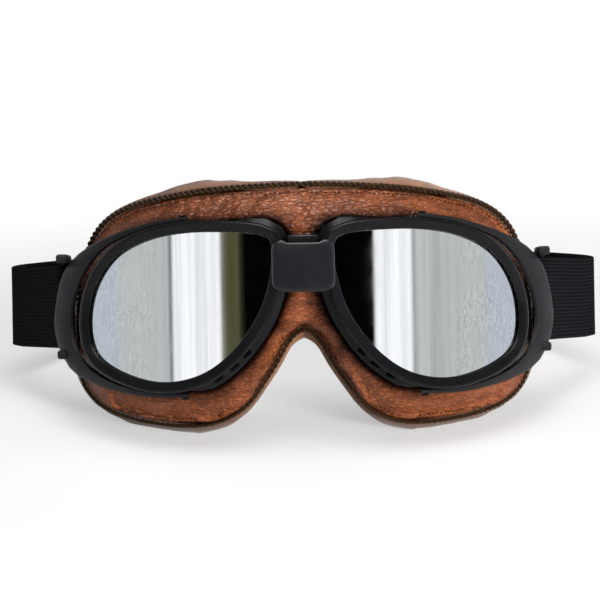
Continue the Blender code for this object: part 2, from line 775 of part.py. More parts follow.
def make_binding(look):
    """The overlocked edge, one closed roll of thread round the whole pad."""
    edge = offset(pad_outline(), -BINDING_RADIUS)
    half = edge[edge[:, 0] > BINDING_RADIUS / 2][:: DENSE_POINTS // BINDING_POINTS]
    whole = np.vstack([half, half[::-1] * [-1, 1]])
    points = at_depth(whole, SEAM_DEPTH + SKIN / 2)
    line = bpy.data.curves.new("edge_binding", "CURVE")
    line.dimensions = "3D"
    line.bevel_depth = BINDING_RADIUS
    line.bevel_resolution = 1
    spline = line.splines.new("POLY")
    spline.points.add(len(points) - 1)
    spline.use_cyclic_u = True
    for place, point in zip(spline.points, points):
        place.co = (*point, 1)
    made = bpy.data.objects.new("edge_binding", line)
    line.materials.append(look)
    PARTS.objects.link(made)
    return made


def along_strap(distance, out):
    """A place on the straight stretch: distance from the bar, and out from the head."""
    direction = Vector((cos(STRAP_DIRECTION), sin(STRAP_DIRECTION), 0))
    normal = Vector((sin(STRAP_DIRECTION), -cos(STRAP_DIRECTION), 0))
    return Vector((BAR_X, bar_y(), STRAP_Z)) + direction * distance + normal * out


def ribbon(name, points, look):
    """A flat strap that stands on edge along a line of points."""
    rise = np.array([0, 0, STRAP_WIDTH / 2])
    points = np.array(points)
    made = loft(name, [points + rise, points - rise], look, around=False)
    wall = made.modifiers.new("thickness", "SOLIDIFY")
    wall.thickness = STRAP_THICKNESS
    wall.offset = 0
    apply_modifiers(made)
    smooth(made)
    return made


def layer_offset():
    """From the strap bar's centre to the middle of the layer that lies on it."""
    return BAR_RADIUS + GAP + STRAP_THICKNESS / 2


def outer_layer():
    """How far out the strap's outer layer lies from the inner one, middle to middle."""
    return STRAP_THICKNESS + 2 * GAP


def make_side_strap(look):
    """The stretch that comes forward inside, turns round the bar and goes back outside."""
    layer = layer_offset()
    steps = [step / STRAIGHT_STEPS for step in range(STRAIGHT_STEPS + 1)]
    points = [along_strap(STRAP_STRAIGHT * share, -layer) for share in steps[:0:-1]]
    for step in range(FOLD_STEPS + 1):
        turn = pi * step / FOLD_STEPS
        points.append(along_strap(-layer * sin(turn), -layer * cos(turn)))
    closing = outer_layer() - 2 * layer
    points += [along_strap(STRAP_STRAIGHT * share, layer + closing * share) for share in steps[1:]]
    return ribbon("left_side_strap", points, look)


def back_line():
    """Centre line of the strap behind the head, from the left side to the right."""
    start = along_strap(STRAP_STRAIGHT + GAP, -layer_offset())
    side = start.x + STRAP_FLARE
    half = [tuple(start)[:2]]
    half += [(side * x, start.y + STRAP_BACK_DEPTH * y) for x, y in STRAP_TURN_SHARES]
    whole = half + [(-x, y) for x, y in half[-2::-1]]
    flat = curve_through(whole, STRAP_STEPS, closed=False)
    rise = STRAP_BACK_RISE * (flat[:, 1] - start.y) / STRAP_BACK_DEPTH
    return np.column_stack([flat, STRAP_Z + rise])


def buckle_step():
    """The point of the back line that the buckle stands behind."""
    return round(BUCKLE_SHARE * STRAP_STEPS)


def beside_buckle(distance, out):
    """A place by the buckle: distance the way that it slides, and out from the head."""
    line, step = back_line(), buckle_step()
    before, after, last = (Vector(line[step + on]) for on in (0, 1, BUCKLE_TRAVEL_STEPS))
    direction = ((last - before) * Vector((1, 1, 0))).normalized()
    normal = Vector((direction.y, -direction.x, 0))
    return (before + after) / 2 + direction * distance + normal * out


def make_strap_return(look):
    """The outer layer, from the side strap's end back to the buckle."""
    line = back_line()
    end = beside_buckle(-LOOP_TAIL - GAP, outer_layer())
    along = np.gradient(line[:, :2], axis=0)
    along /= np.linalg.norm(along, axis=1)[:, None]
    out = np.column_stack([along[:, 1], -along[:, 0], np.zeros(len(line))])
    points = (line + out * outer_layer())[: buckle_step() - 1]
    return ribbon("left_strap_return", np.vstack([points, end]), look)


def loop_radius():
    """Middle of the sewn loop round the buckle's centre bar."""
    return BUCKLE_BAR / 2 + GAP + STRAP_THICKNESS / 2


def centre_bar_out():
    """How far out the buckle's centre bar stands from the middle of the strap."""
    return outer_layer() + loop_radius()


def make_strap_loop(look):
    """The strap's end, turned round the buckle's centre bar and sewn down on itself."""
    radius, centre = loop_radius(), centre_bar_out()
    sewn = outer_layer() + STRAP_THICKNESS + GAP
    points = [beside_buckle(-LOOP_TAIL, outer_layer()), beside_buckle(-SEWN_LENGTH, outer_layer())]
    for step in range(LOOP_STEPS + 1):
        turn = step * LOOP_TURN / LOOP_STEPS
        points.append(beside_buckle(radius * sin(turn), centre - radius * cos(turn)))
    points += [beside_buckle(-SEWN_LENGTH, sewn), beside_buckle(-LOOP_TAIL, sewn)]
    return ribbon("left_strap_loop", points, look)


def buckle_box(low, high, look, edge=0.0):
    """A block of the buckle, given as (along, out, up) distances from its middle."""
    made = box("block", low, high, look, edge)
    direction = beside_buckle(1, 0) - beside_buckle(0, 0)
    normal = beside_buckle(0, 1) - beside_buckle(0, 0)
    turn = Matrix((direction, normal, (0, 0, 1))).transposed().to_4x4()
    made.data.transform(Matrix.Translation(beside_buckle(0, 0)) @ turn)
    made.data.flip_normals()
    if edge:
        apply_modifiers(made)
    return made


def make_buckle(look):
    half = BUCKLE_LENGTH / 2
    bar = BUCKLE_BAR / 2
    reach = BUCKLE_HEIGHT / 2
    inside = reach - BUCKLE_RAIL
    centre = centre_bar_out()
    under = -STRAP_THICKNESS / 2 - 2 * GAP - BUCKLE_BAR
    over = centre + bar
    near, far = under - BUCKLE_EDGE, over + BUCKLE_EDGE
    rails = [
        buckle_box((-half, near, inside), (half, far, reach), look, BUCKLE_EDGE),
        buckle_box((-half, near, -reach), (half, far, -inside), look, BUCKLE_EDGE),
    ]
    sink = inside + BUCKLE_RAIL / 2
    up = Vector((0, 0, 1))
    middle = beside_buckle(0, centre)
    bars = [cylinder("centre bar", bar, middle - up * sink, middle + up * sink, look)]
    for end in (BUCKLE_BAR - half, half - BUCKLE_EDGE):
        low = (end + BUCKLE_EDGE - BUCKLE_BAR, under, -sink)
        bars.append(buckle_box(low, (end, under + BUCKLE_BAR, sink), look))
    buckle = rails[0]
    buckle.name = "left_slide_buckle"
    combine(buckle, bars + rails[1:], "UNION")
    smooth(buckle)
    return buckle


def axis_empty(name, place, parent):
    made = bpy.data.objects.new(name, None)
    made.location = place
    made.parent = parent
    PARTS.objects.link(made)
    return made


def carry(made, parent, place):
    """Hangs a piece on an empty, with its origin there."""
    made.data.transform(Matrix.Translation(-place))
    made.parent = parent


def mirror_name(name):
    return name.replace("left_", "right_", 1)


def lowest(points, lean):
    """Height of the lowest point over the origin, at a lean in radians."""
    heights = points[:, 2] * cos(lean) - points[:, 1] * sin(lean)
    return heights.min()


def mesh_points(*pieces):
    """The points of the given pieces, before anything carries them."""
    return np.array([point.co for piece in pieces for point in piece.data.vertices])


def resting_lean(pad, back):
    """The lean at which the cut foot of the pad and the buckled strap both touch the floor."""
    low, high = LEAST_LEAN, MOST_LEAN
    for _ in range(LEAN_STEPS):
        lean = (low + high) / 2
        if lowest(pad, lean) + FOOT_CUT < lowest(back, lean):
            low = lean
        else:
            high = lean
    return lean


def clear_scene():
    for old in list(bpy.data.objects):
        bpy.data.objects.remove(old)


def new_collection(name):
    made = bpy.data.collections.new(name)
    bpy.context.scene.collection.children.link(made)
    return made


def make_looks():
    return {
        "matte": material("matte charcoal nylon", (0.028, 0.028, 0.03), 0.55),
        "black": material("black moulded nylon", (0.012, 0.012, 0.013), 0.4),
        "badge": material("satin black badge", (0.015, 0.015, 0.017), 0.25),
        "mirror": material("mirrored polycarbonate", (0.8, 0.81, 0.82), 0.05, 1.0),
        "leather": material("brown grained leather", (0.23, 0.075, 0.032), 0.5),
        "lining": material("tan lining", (0.42, 0.24, 0.15), 0.8),
        "foam": material("grey foam", (0.2, 0.2, 0.2), 0.95),
        "thread": material("dark brown thread", (0.05, 0.025, 0.015), 0.8),
        "elastic": material("black elastic webbing", (0.012, 0.012, 0.015), 0.85),
        "steel": material("steel pin", (0.45, 0.45, 0.46), 0.35, 1.0),
    }


def stand_up(front, lining, back):
    """The empty that leans the goggles back until the pad and the buckles touch the floor."""
    ahead, behind = mesh_points(*front), mesh_points(*back)
    lean = resting_lean(mesh_points(lining), behind)
    turned = Matrix.Rotation(-lean, 4, "X")
    front_y = min((turned @ Vector(point)).y for point in ahead)
    back_y = max((turned @ Vector(point)).y for point in behind)
    shift = Vector((0, -(front_y + back_y) / 2, -lowest(behind, lean)))
    stance = axis_empty("stance", (0, 0, 0), None)
    stance.matrix_world = Matrix.Translation(shift) @ turned
    print("lean in degrees", round(degrees(lean), PRINTED_PLACES))
    return stance


def cut_feet(linings):
    """Cuts the pad flat where it stands on the floor."""
    span, depth = PAD_HALF_WIDTH * 2, PAD_TOP
    ground = box("ground", (-span, -span, -depth), (span, span, 0), None)
    for lining in linings:
        step = lining.modifiers.new("flat feet", "BOOLEAN")
        step.operation = "DIFFERENCE"
        step.object = ground


def report(stance, pivot, slider):
    """Prints the axes and places that a reader of the model needs, in world metres."""
    bpy.context.view_layer.update()
    turn = stance.matrix_world
    along = beside_buckle(1, 0) - beside_buckle(0, 0)
    badge = Vector((0, -GAP - BADGE_THICKNESS, BADGE_TOP_Z - BADGE_HEIGHT / 2))
    for name, place in (("pivot", pivot), ("slide", slider), ("badge face", badge)):
        print("left", name, [round(value, PRINTED_PLACES) for value in turn @ place])
    for name, direction in (
        ("slide axis", along), ("pivot axis", Vector((0, 0, 1))),
        ("badge normal", Vector((0, -1, 0))),
    ):
        print("left", name, [round(value, PRINTED_PLACES) for value in turn.to_3x3() @ direction])


def main():
    looks = make_looks()
    black, elastic = looks["black"], looks["elastic"]

    badge, rim = make_badge(looks["badge"]), make_rim(black)
    back, buckle = ribbon("back_strap", back_line(), elastic), make_buckle(black)
    facing, core = make_facing(looks["leather"]), make_core(looks["foam"])
    middle = [badge, make_link(black), facing, core, make_binding(looks["thread"]), back]
    face_lining = make_face_lining(looks["lining"])
    paired = [rim, make_lens(looks["mirror"]), make_eyecup(black), face_lining]
    paired += [make_eye_lining(looks["lining"]), make_strap_return(elastic)]
    for name, up in (("left_upper_pivot_pin", 1), ("left_lower_pivot_pin", -1)):
        paired.append(make_pin(name, up, looks["steel"]))
    arm_pieces = [make_arm(looks["matte"]), make_side_strap(elastic)]
    buckle_pieces = [buckle, make_strap_loop(elastic)]

    stance = stand_up([badge, rim], face_lining, [back] + buckle_pieces)
    for piece in middle + paired:
        piece.parent = stance
    for piece in paired:
        mirrored(piece, mirror_name(piece.name)).parent = stance
    pivot = Vector((ARM_TIP_X, wrap(ARM_TIP_X) + PIN_DEPTH, 0))
    slider = beside_buckle(0, 0)
    for side, flip in (("right", -1), ("left", 1)):
        across = Vector((flip, 1, 1))
        for name, place, pieces in (
            (" pivot axis", pivot * across, arm_pieces),
            (" slide axis", slider * across, buckle_pieces),
        ):
            axis = axis_empty(side + name, place, stance)
            for piece in pieces:
                own = piece if side == "left" else mirrored(piece, mirror_name(piece.name))
                carry(own, axis, place)

    cut_feet([face_lining, bpy.data.objects[mirror_name(face_lining.name)]])
    report(stance, pivot, slider)


clear_scene()
PARTS = new_collection("motocross goggles")
CUTTERS = new_collection("cutters")
main()
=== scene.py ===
"""Looks for the vintage motocross goggles, laid out as a Blender add-on and run as a script."""

import json
from functools import partial
from math import atan2, cos, pi, radians, sin

import bmesh
import bpy
import numpy as np
from bpy.props import FloatProperty, FloatVectorProperty, PointerProperty
from mathutils import Matrix, Vector
from mathutils.bvhtree import BVHTree
from mathutils.kdtree import KDTree
from mathutils.noise import noise as perlin


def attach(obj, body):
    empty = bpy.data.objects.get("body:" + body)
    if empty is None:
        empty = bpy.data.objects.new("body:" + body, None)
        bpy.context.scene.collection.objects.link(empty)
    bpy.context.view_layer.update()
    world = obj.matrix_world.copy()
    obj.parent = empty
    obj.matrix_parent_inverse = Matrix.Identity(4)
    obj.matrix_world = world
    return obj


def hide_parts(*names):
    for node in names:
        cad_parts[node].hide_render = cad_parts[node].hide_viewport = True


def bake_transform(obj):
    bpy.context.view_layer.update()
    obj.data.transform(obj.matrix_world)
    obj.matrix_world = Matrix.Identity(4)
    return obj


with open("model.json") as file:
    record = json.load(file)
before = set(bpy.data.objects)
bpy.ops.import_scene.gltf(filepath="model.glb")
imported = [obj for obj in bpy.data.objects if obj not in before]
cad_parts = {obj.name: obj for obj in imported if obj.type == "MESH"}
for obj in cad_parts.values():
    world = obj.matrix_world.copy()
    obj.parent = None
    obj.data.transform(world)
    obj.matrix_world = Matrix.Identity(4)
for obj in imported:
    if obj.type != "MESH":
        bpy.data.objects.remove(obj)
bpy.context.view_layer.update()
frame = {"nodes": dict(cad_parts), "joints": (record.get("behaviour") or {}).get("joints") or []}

bl_info = {
    "name": "Motocross goggles",
    "version": (1, 0, 0),
    "blender": (4, 5, 0),
    "location": "View3D > Sidebar > Goggles",
    "description": "Builds the visible pieces, finishes and stage of vintage motocross goggles",
    "category": "Object",
}

# Sizes of the goggles in metres, in their own upright frame
WRAP_RADIUS = 0.128
ARM_TIP_X = 0.0413
PIN_DEPTH = 0.008
LENS_CENTRE = (0.04275, -0.00025)
LENS_FRONT_DEPTH = 0.0032
LENS_BACK_DEPTH = 0.0052
LENS_STEPS = 96
EDGE_READINGS = 48
BINDING_RADIUS = 0.0011
LEATHER_THICKNESS = 0.0009
EDGE_CLEARANCE = 0.0003
MERGE = 0.00001
HALF_GAP = 0.0006
FOAM_CLEARANCE = 0.0011
FLOOR_CLEARANCE = 0.0002
# A place on the leather's visible face: across, behind the wrap curve, and up
LEATHER_SEED = (0.06, 0.014, -0.033)

# Rounded edges: width, segments, the angle from which an edge counts as sharp, and the angle up to
# which faces shade smooth, both in degrees
EDGES = {
    "eyecup": (0.0003, 3, 35, 45), "pin": (0.00012, 3, 50, 40), "arm": (0.0003, 3, 38, 50),
    "badge": (0.00035, 3, 28, 40), "link": (0.0002, 3, 40, 40), "buckle": (0.00025, 2, 40, 40),
}
# The same without the last, for pieces that shade smooth all over
RIM_EDGE = (0.0004, 2, 32)
LENS_EDGE = (0.0003, 3, 50)
STRAP_EDGE = (0.0004, 2, 60)
CLIP_EDGE = 0.00035

# Snap clips on the left eyecup's flange: places, and length, height and depth of each
CLIP_PLACES = ((0.0192, 0.0079, -0.0168), (0.0236, 0.0085, -0.0212), (0.0292, 0.0096, -0.0254))
CLIP_SIZE = (0.0034, 0.0013, 0.0013)

# Stitches that show in the groove between rim and arm: their line, length and thickness, and pitch
GROOVE_SEAM = (
    (0.0710, 0.0335, 0.0198), (0.0721, 0.0342, 0.0184), (0.0737, 0.0356, 0.0170),
    (0.0749, 0.0365, 0.0152), (0.0761, 0.0378, 0.0138),
)
GROOVE_BEAD = (0.0012, 0.0009)
GROOVE_PITCH = 0.0019
# How far the middle of a laid thread stands off the leather, as a share of its thickness
THREAD_LIFT = 0.25

# The leather as a light cloth that bends easily, and the steps that it is given to settle
CLOTH = {
    "quality": 5, "mass": 0.15, "tension_stiffness": 15, "compression_stiffness": 15,
    "shear_stiffness": 8, "bending_stiffness": 0.05,
}
CLOTH_STEPS = 20

# Gathers: their depth all over, above the bridge and along the top, as shares of the gather depth,
# where the last two are, and the radius at which the waves round an eye are counted
GATHER_ALL_OVER = 0.18
GATHER_BRIDGE = 0.9
GATHER_TOP = 0.45
BRIDGE_REACH = 0.022
BRIDGE_HEIGHT = 0.02
TOP_FROM = 0.02
TOP_FADE = 0.012
EYE_RADIUS = 0.042
# Waves a metre round the eye, waves across the leather, and share of the depth
FOLDS = (420, 1.4, 0.55)
FINE_FOLDS = (950, 2.6, 0.3)
# Waves a metre in every direction, and share of the depth
LUMPS = (90, 0.35)
# Painted shade on the leather beside its sewn edges, where it tucks under: how strong, and how far in, at the
# eyes and at the seam
EYE_PAINTED_SHADE = (1.3, 0.0030)
SEAM_PAINTED_SHADE = (0.7, 0.00075)

# Where the bound edge is thinner: by what share, below what height, and over what height it thins
THINNING = 0.35
THIN_FROM = 0.0
THIN_FADE = 0.02
# Its two plies: their thickness as a share of the edge's, and steps in one turn
PLY_SHARE = 0.56
PLY_STEPS = 9
EDGE_STEP = 0.0008
SEAM_STEP = 0.001
# Lengths of a laid stitch on the leather and of one across the strap, as shares of their pitch
SEAM_STITCH = 0.62
ROW_STITCH = 0.7

# Where the lining bulges past the seam: place across, height, half width and rise
LINING_BULGES = ((0.036, 0.030, 0.016, 0.0021), (0.034, -0.030, 0.014, 0.0012))
BULGE_FADE = 0.008
BULGE_WAVES = 150
BULGE_UNEVENNESS = 0.45
SIDE_BULGE = 0.0022
SIDE_BULGE_X = 0.074
SIDE_BULGE_Z = -0.012
SIDE_BULGE_REACH = 0.014
SIDE_BULGE_FADE = 0.007

# Depths of the finishes' relief, and how far the pebbles are pushed off their even places
PEBBLE_SHIFT = 0.0006
PEBBLE_DEPTH = 0.00022
CREASE_DEPTH = 0.0014
PILE_DEPTH = 0.00018
FOAM_CELL_DEPTH = 0.0003
LENS_WAVE_DEPTH = 0.00004
RIB_DEPTH = 0.00025
FIBRE_DEPTH = 0.00008
TOOL_MARK_DEPTH = 0.00002

# Strap route, the same as the solid strap's
STRAP_WIDTH = 0.030
STRAP_THICKNESS = 0.0014
STRAP_Z = 0.00075
STRAP_BACK_RISE = 0.00735
STRAP_BACK_DEPTH = 0.0904
STRAP_FLARE = 0.0053
STRAP_STRAIGHT = 0.035
STRAP_DIRECTION = radians(54)
STRAP_TURN_SHARES = (
    (1.0, 0.12), (0.975, 0.33), (0.83, 0.63), (0.56, 0.865), (0.27, 0.975), (0.0, 1.0),
)
BAR = (0.0865, 0.0476)
BAR_RADIUS = 0.0015
OUTER_LAYER = STRAP_THICKNESS + 0.0006
BUCKLE_BAR_RADIUS = 0.0009
LOOP_TAIL = 0.0095
SEWN_LENGTH = 0.0042
LOOP_TURN = radians(240)
STRAP_FLEX = 0.055
LAP = 0.0012
# Distances before the buckle at which the outer layer's line stops and its end follows the buckle
# alone, and how far back from the straight stretch the strap bends with the arm
TAIL_STOP = LOOP_TAIL * 1.4
TAIL_FOLLOWS = LOOP_TAIL * 1.2
FLEX_END = STRAP_FLEX * 0.95
BEND_STEPS = 24
LINE_STEP = 0.0005
GRID_STEP = 0.0007
GRID_ROWS = 12
# Stitched rows across the strap: at its ends, as shares of the loop's tail, and at the middle behind
ROW_MARGIN = 0.002
ROW_PITCH = 0.0022
ROW_THREAD = 0.0005
ROW_STEPS = 40
END_ROWS = (0.85, 0.6)
BACK_ROWS = (-0.004, -0.001, 0.001, 0.004)

# Camera, set from the photograph: 0.335 mm a pixel at the front plane
VIEW_DISTANCE = 0.550
VIEW_FOCAL = 98.5
VIEW_CENTRE = (-0.0013, 0.0017)
VIEW_ROLL = radians(-1.0)

# Lamps: place, size, watts, whether they show in reflections and whether they light matt surfaces
LAMPS = {
    "overhead lamp": ((0.0, -0.22, 0.9), 0.5, 4.3, True, True),
    "strip lamp": ((0.0, -0.38, 0.64), 0.3, 4.2, True, False),
    "front lamp": ((0.55, -0.80, 0.17), 0.3, 16, False, True),
}
LAMP_AIM = Vector((0, -0.04, 0.04))
DAYLIGHT = 0.28
FLOOR_SIZE = 8
WHITE = (1, 1, 1, 1)
PAPER = (0.9, 0.9, 0.9, 1)

# The room that the lenses mirror: its size, its finishes, and its bands by where they show on the lenses
ROOM_RADIUS = 0.75
ROOM_HEIGHT = 0.62
ROOM_RISE = 0.05
ROOM_GLOW = 1.3
ROOM = {
    "window": "FFFFFF", "wall": "BDBFBE", "sky": "B9BEC6",
    "post": "6C6E70", "blind": "57553D", "dark": "030303",
}
ROOM_BANDS = (
    ("sky", -0.0755, -0.0650), ("wall", -0.0643, -0.0462), ("post", -0.0458, -0.0454),
    ("window", -0.0449, -0.0277), ("blind", -0.0274, -0.0216), ("dark", -0.0208, -0.0093),
    ("window", -0.0090, -0.0089), ("dark", -0.0086, 0.0234), ("window", 0.0237, 0.0362),
    ("post", 0.0371, 0.0373), ("wall", 0.0379, 0.0620), ("sky", 0.0645, 0.0755),
)


def wrap(x):
    """How far the front curve has gone back at a distance x from the middle."""
    return WRAP_RADIUS - (WRAP_RADIUS**2 - x * x) ** 0.5


def stance():
    """The goggles' own upright frame as it stands in the scene, from the arm's hinge."""
    hinge = next(joint for joint in frame["joints"] if joint["name"] == "right_arm_swing")
    turn = Matrix.Rotation(-atan2(hinge["axis"][1], hinge["axis"][2]), 4, "X")
    own = Vector((-ARM_TIP_X, wrap(ARM_TIP_X) + PIN_DEPTH, 0))
    return Matrix.Translation(Vector(hinge["pos_m"]) - turn @ own) @ turn


STANCE = stance()
UPRIGHT = STANCE.inverted()


def only(obj):
    """Selects one object alone and makes it active."""
    bpy.ops.object.select_all(action="DESELECT")
    obj.select_set(True)
    bpy.context.view_layer.objects.active = obj


def modify(obj, kind, **settings):
    """Adds a modifier, sets it and applies it."""
    only(obj)
    step = obj.modifiers.new(kind.lower(), kind)
    for name, value in settings.items():
        setattr(step, name, value)
    bpy.ops.object.modifier_apply(modifier=step.name)


def smooth(obj, angle=None):
    """Shades a piece smooth, all over or up to an angle in degrees."""
    only(obj)
    if angle is None:
        bpy.ops.object.shade_smooth()
    else:
        bpy.ops.object.shade_smooth_by_angle(angle=radians(angle))


def new_shape(add, name, **settings):
    """Adds a primitive by its operator, with nothing else selected, and names it."""
    bpy.ops.object.select_all(action="DESELECT")
    add(**settings)
    made = bpy.context.object
    made.name = made.data.name = name
    return made


def points_of(obj):
    """A piece's points as an array, one row for each."""
    places = np.empty(len(obj.data.vertices) * 3, np.float32)
    obj.data.vertices.foreach_get("co", places)
    return places.reshape(-1, 3).astype(float)


def put_points(obj, points):
    """Moves a piece's points to new places."""
    obj.data.vertices.foreach_set("co", np.ascontiguousarray(points, np.float32).ravel())
    obj.data.update()


def moved_by(points, matrix):
    """An array of points in another frame."""
    return points @ np.array(matrix.to_3x3()).T + np.array(matrix.translation)


def copy_of(node, name):
    """A copy of a CAD node with its doubled points merged and its triangles paired."""
    made = bpy.data.objects.new(name, frame["nodes"][node].data.copy())
    bpy.context.scene.collection.objects.link(made)
    made.data.materials.clear()
    only(made)
    bpy.ops.mesh.customdata_custom_splitnormals_clear()
    bpy.ops.object.mode_set(mode="EDIT")
    bpy.ops.mesh.select_all(action="SELECT")
    bpy.ops.mesh.remove_doubles(threshold=MERGE)
    bpy.ops.mesh.tris_convert_to_quads(face_threshold=radians(35), shape_threshold=radians(70))
    bpy.ops.mesh.faces_shade_smooth()
    bpy.ops.object.mode_set(mode="OBJECT")
    return made


def round_edges(obj, width, segments, angle):
    """Rounds the edges of a piece that are sharper than an angle in degrees."""
    modify(obj, "BEVEL", width=width, segments=segments, limit_method="ANGLE", angle_limit=radians(angle))


def hard_copy(node, name, kind):
    """A copy of a hard CAD piece with its sharp edges rounded."""
    width, segments, sharp, blended = EDGES[kind]
    made = copy_of(node, name)
    round_edges(made, width, segments, sharp)
    smooth(made, blended)
    return made


def soft_copy(node, name, levels):
    """A copy of a soft CAD piece with its faces divided and rounded."""
    made = copy_of(node, name)
    modify(made, "SUBSURF", levels=levels, render_levels=levels)
    return made


def twin(obj, name):
    """The right-hand copy of a left-hand piece, with its own mesh."""
    made = bpy.data.objects.new(name, obj.data.copy())
    bpy.context.scene.collection.objects.link(made)
    made.data.transform(Matrix.Scale(-1, 4, (1, 0, 0)))
    made.data.flip_normals()
    return made


def dress(obj, body, slot, *looks, stands_for=()):
    """Gives a finished piece its materials and body, and hides the CAD nodes that it stands for."""
    obj.data.materials.clear()
    for look in looks:
        obj.data.materials.append(look)
    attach(obj, body)
    if stands_for:
        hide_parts(*stands_for)
    return obj


def both_sides(obj, body, slot, *looks, stands_for=()):
    """Dresses a left-hand piece and its right-hand twin."""
    right = twin(obj, obj.name.replace("left_", "right_", 1))
    swap = [node.replace("left_", "right_", 1) for node in stands_for]
    dress(obj, body, slot, *looks, stands_for=stands_for)
    dress(right, body.replace("left_", "right_", 1), slot, *looks, stands_for=swap)
    return obj, right


def srgb(code):
    """A linear colour from an sRGB hex code."""
    parts = [int(code[i:i + 2], 16) / 255 for i in (0, 2, 4)]
    return (*[part / 12.92 if part <= 0.04045 else ((part + 0.055) / 1.055) ** 2.4 for part in parts], 1)


def shaded(colour, share, lift=0.0):
    """A colour made darker or paler."""
    return (*[min(1, part * share + lift) for part in colour[:3]], 1)


def per(size):
    """Pattern scale for a real size in millimetres."""
    return 1000 / size


def set_inputs(made, inputs):
    """Gives a node's inputs their constants, or links them to other nodes' sockets."""
    for socket, value in inputs.items():
        if isinstance(value, bpy.types.NodeSocket):
            made.id_data.links.new(value, made.inputs[socket])
        else:
            made.inputs[socket].default_value = value


def add_node(tree, kind, inputs=None, stops=(), out=0, **settings):
    """Adds one shader node with its settings, inputs and ramp stops, and gives one of its outputs."""
    made = tree.nodes.new("ShaderNode" + kind)
    for name, value in settings.items():
        setattr(made, name, value)
    set_inputs(made, inputs or {})
    if stops:
        steps = made.color_ramp.elements
        while len(steps) < len(stops):
            steps.new(1)
        for step, (place, colour) in zip(steps, stops):
            step.position = place
            step.color = colour if isinstance(colour, tuple) else (colour, colour, colour, 1)
    return made.outputs[out] if made.outputs else made


def new_look(name, colour, roughness, metallic=0.0, gloss=0.5):
    """A new material, the way to add to its nodes, and its shader with the constants on its own sockets."""
    made = bpy.data.materials.new(name)
    made.use_nodes = True
    shader = made.node_tree.nodes["Principled BSDF"]
    set_inputs(shader, {"Base Color": colour, "Roughness": roughness, "Metallic": metallic,
                        "Specular IOR Level": gloss})
    return made, partial(add_node, made.node_tree), shader


def bare_nodes(owner):
    """The way to add nodes to a material or world that has none yet."""
    owner.use_nodes = True
    owner.node_tree.nodes.clear()
    return partial(add_node, owner.node_tree)


def evenly(points, pitch, closed):
    """Points spaced evenly, about a pitch apart, along a line of points."""
    points = np.asarray(points, float)
    if closed:
        points = np.vstack([points, points[:1]])
    length = np.r_[0, np.cumsum(np.linalg.norm(np.diff(points, axis=0), axis=1))]
    count = max(2, round(length[-1] / pitch))
    at = np.linspace(0, length[-1], count + 1)
    if closed:
        at = at[:-1]
    return np.stack([np.interp(at, length, side) for side in points.T], axis=1), length[-1]


def line_of(points, closed, upright=False):
    """A poly curve through points, to bend a mesh along."""
    line = bpy.data.curves.new("route", "CURVE")
    line.dimensions = "3D"
    line.twist_mode = "Z_UP" if upright else "MINIMUM"
    spline = line.splines.new("POLY")
    spline.points.add(len(points) - 1)
    for place, point in zip(spline.points, points):
        place.co = (*point, 1)
    spline.use_cyclic_u = closed
    made = bpy.data.objects.new("route", line)
    bpy.context.scene.collection.objects.link(made)
    return made


def bend_along(obj, points, closed, upright=False):
    """Bends a straight piece, drawn along X, so that it follows a line of points."""
    route = line_of(points, closed, upright)
    modify(obj, "CURVE", object=route, deform_axis="POS_X")
    bpy.data.objects.remove(route)


def repeat_along(unit, points, pitch, closed):
    """Repeats a small piece along a line, with a whole number of pitches in its length."""
    smooth_line, length = evenly(points, pitch / 3, closed)
    if closed:
        length = np.linalg.norm(np.roll(smooth_line, -1, axis=0) - smooth_line, axis=1).sum()
    count = max(2, round(length / pitch))
    modify(unit, "ARRAY", count=count, use_relative_offset=False, use_constant_offset=True,
           constant_offset_displace=(length / count, 0, 0))
    bend_along(unit, smooth_line, closed)
    return unit


def stitch(name, length, thickness):
    """One laid thread stitch along X: a capsule with narrowed ends."""
    made = new_shape(bpy.ops.mesh.primitive_uv_sphere_add, name, segments=8, ring_count=6, radius=1)
    turn = Matrix.Rotation(pi / 2, 4, "Y")
    size = Matrix.Diagonal((length / 2, thickness / 2, thickness / 2, 1))
    made.data.transform(Matrix.Translation((length / 2, 0, 0)) @ size @ turn)
    bpy.ops.object.shade_smooth()
    return made


def open_loops(obj):
    """The open edges of a sheet as ordered loops of point numbers, the longest first."""
    shape = bmesh.new()
    shape.from_mesh(obj.data)
    beside = {}
    for edge in shape.edges:
        if edge.is_boundary:
            a, b = (corner.index for corner in edge.verts)
            beside.setdefault(a, []).append(b)
            beside.setdefault(b, []).append(a)
    shape.free()
    loops = []
    while beside:
        at = next(iter(beside))
        loop = []
        while at in beside:
            loop.append(at)
            onward = [other for other in beside.pop(at) if other in beside]
            if not onward:
                break
            at = onward[0]
        loops.append(loop)
    return sorted(loops, key=len, reverse=True)


def outer_sheet(node, name, seed, angle=radians(60)):
    """The visible face of a soft CAD piece, cut free along its sharp edges."""
    made = copy_of(node, name)
    centres = np.array([face.center for face in made.data.polygons])
    first = int(np.argmin(np.linalg.norm(centres - np.array(seed), axis=1)))
    bpy.ops.object.mode_set(mode="EDIT")
    bpy.ops.mesh.select_mode(type="FACE")
    bpy.ops.mesh.select_all(action="DESELECT")
    bpy.ops.object.mode_set(mode="OBJECT")
    made.data.polygons[first].select = True
    bpy.ops.object.mode_set(mode="EDIT")
    bpy.ops.mesh.faces_select_linked_flat(sharpness=angle)
    bpy.ops.mesh.select_all(action="INVERT")
    bpy.ops.mesh.delete(type="FACE")
    bpy.ops.object.mode_set(mode="OBJECT")
    return made


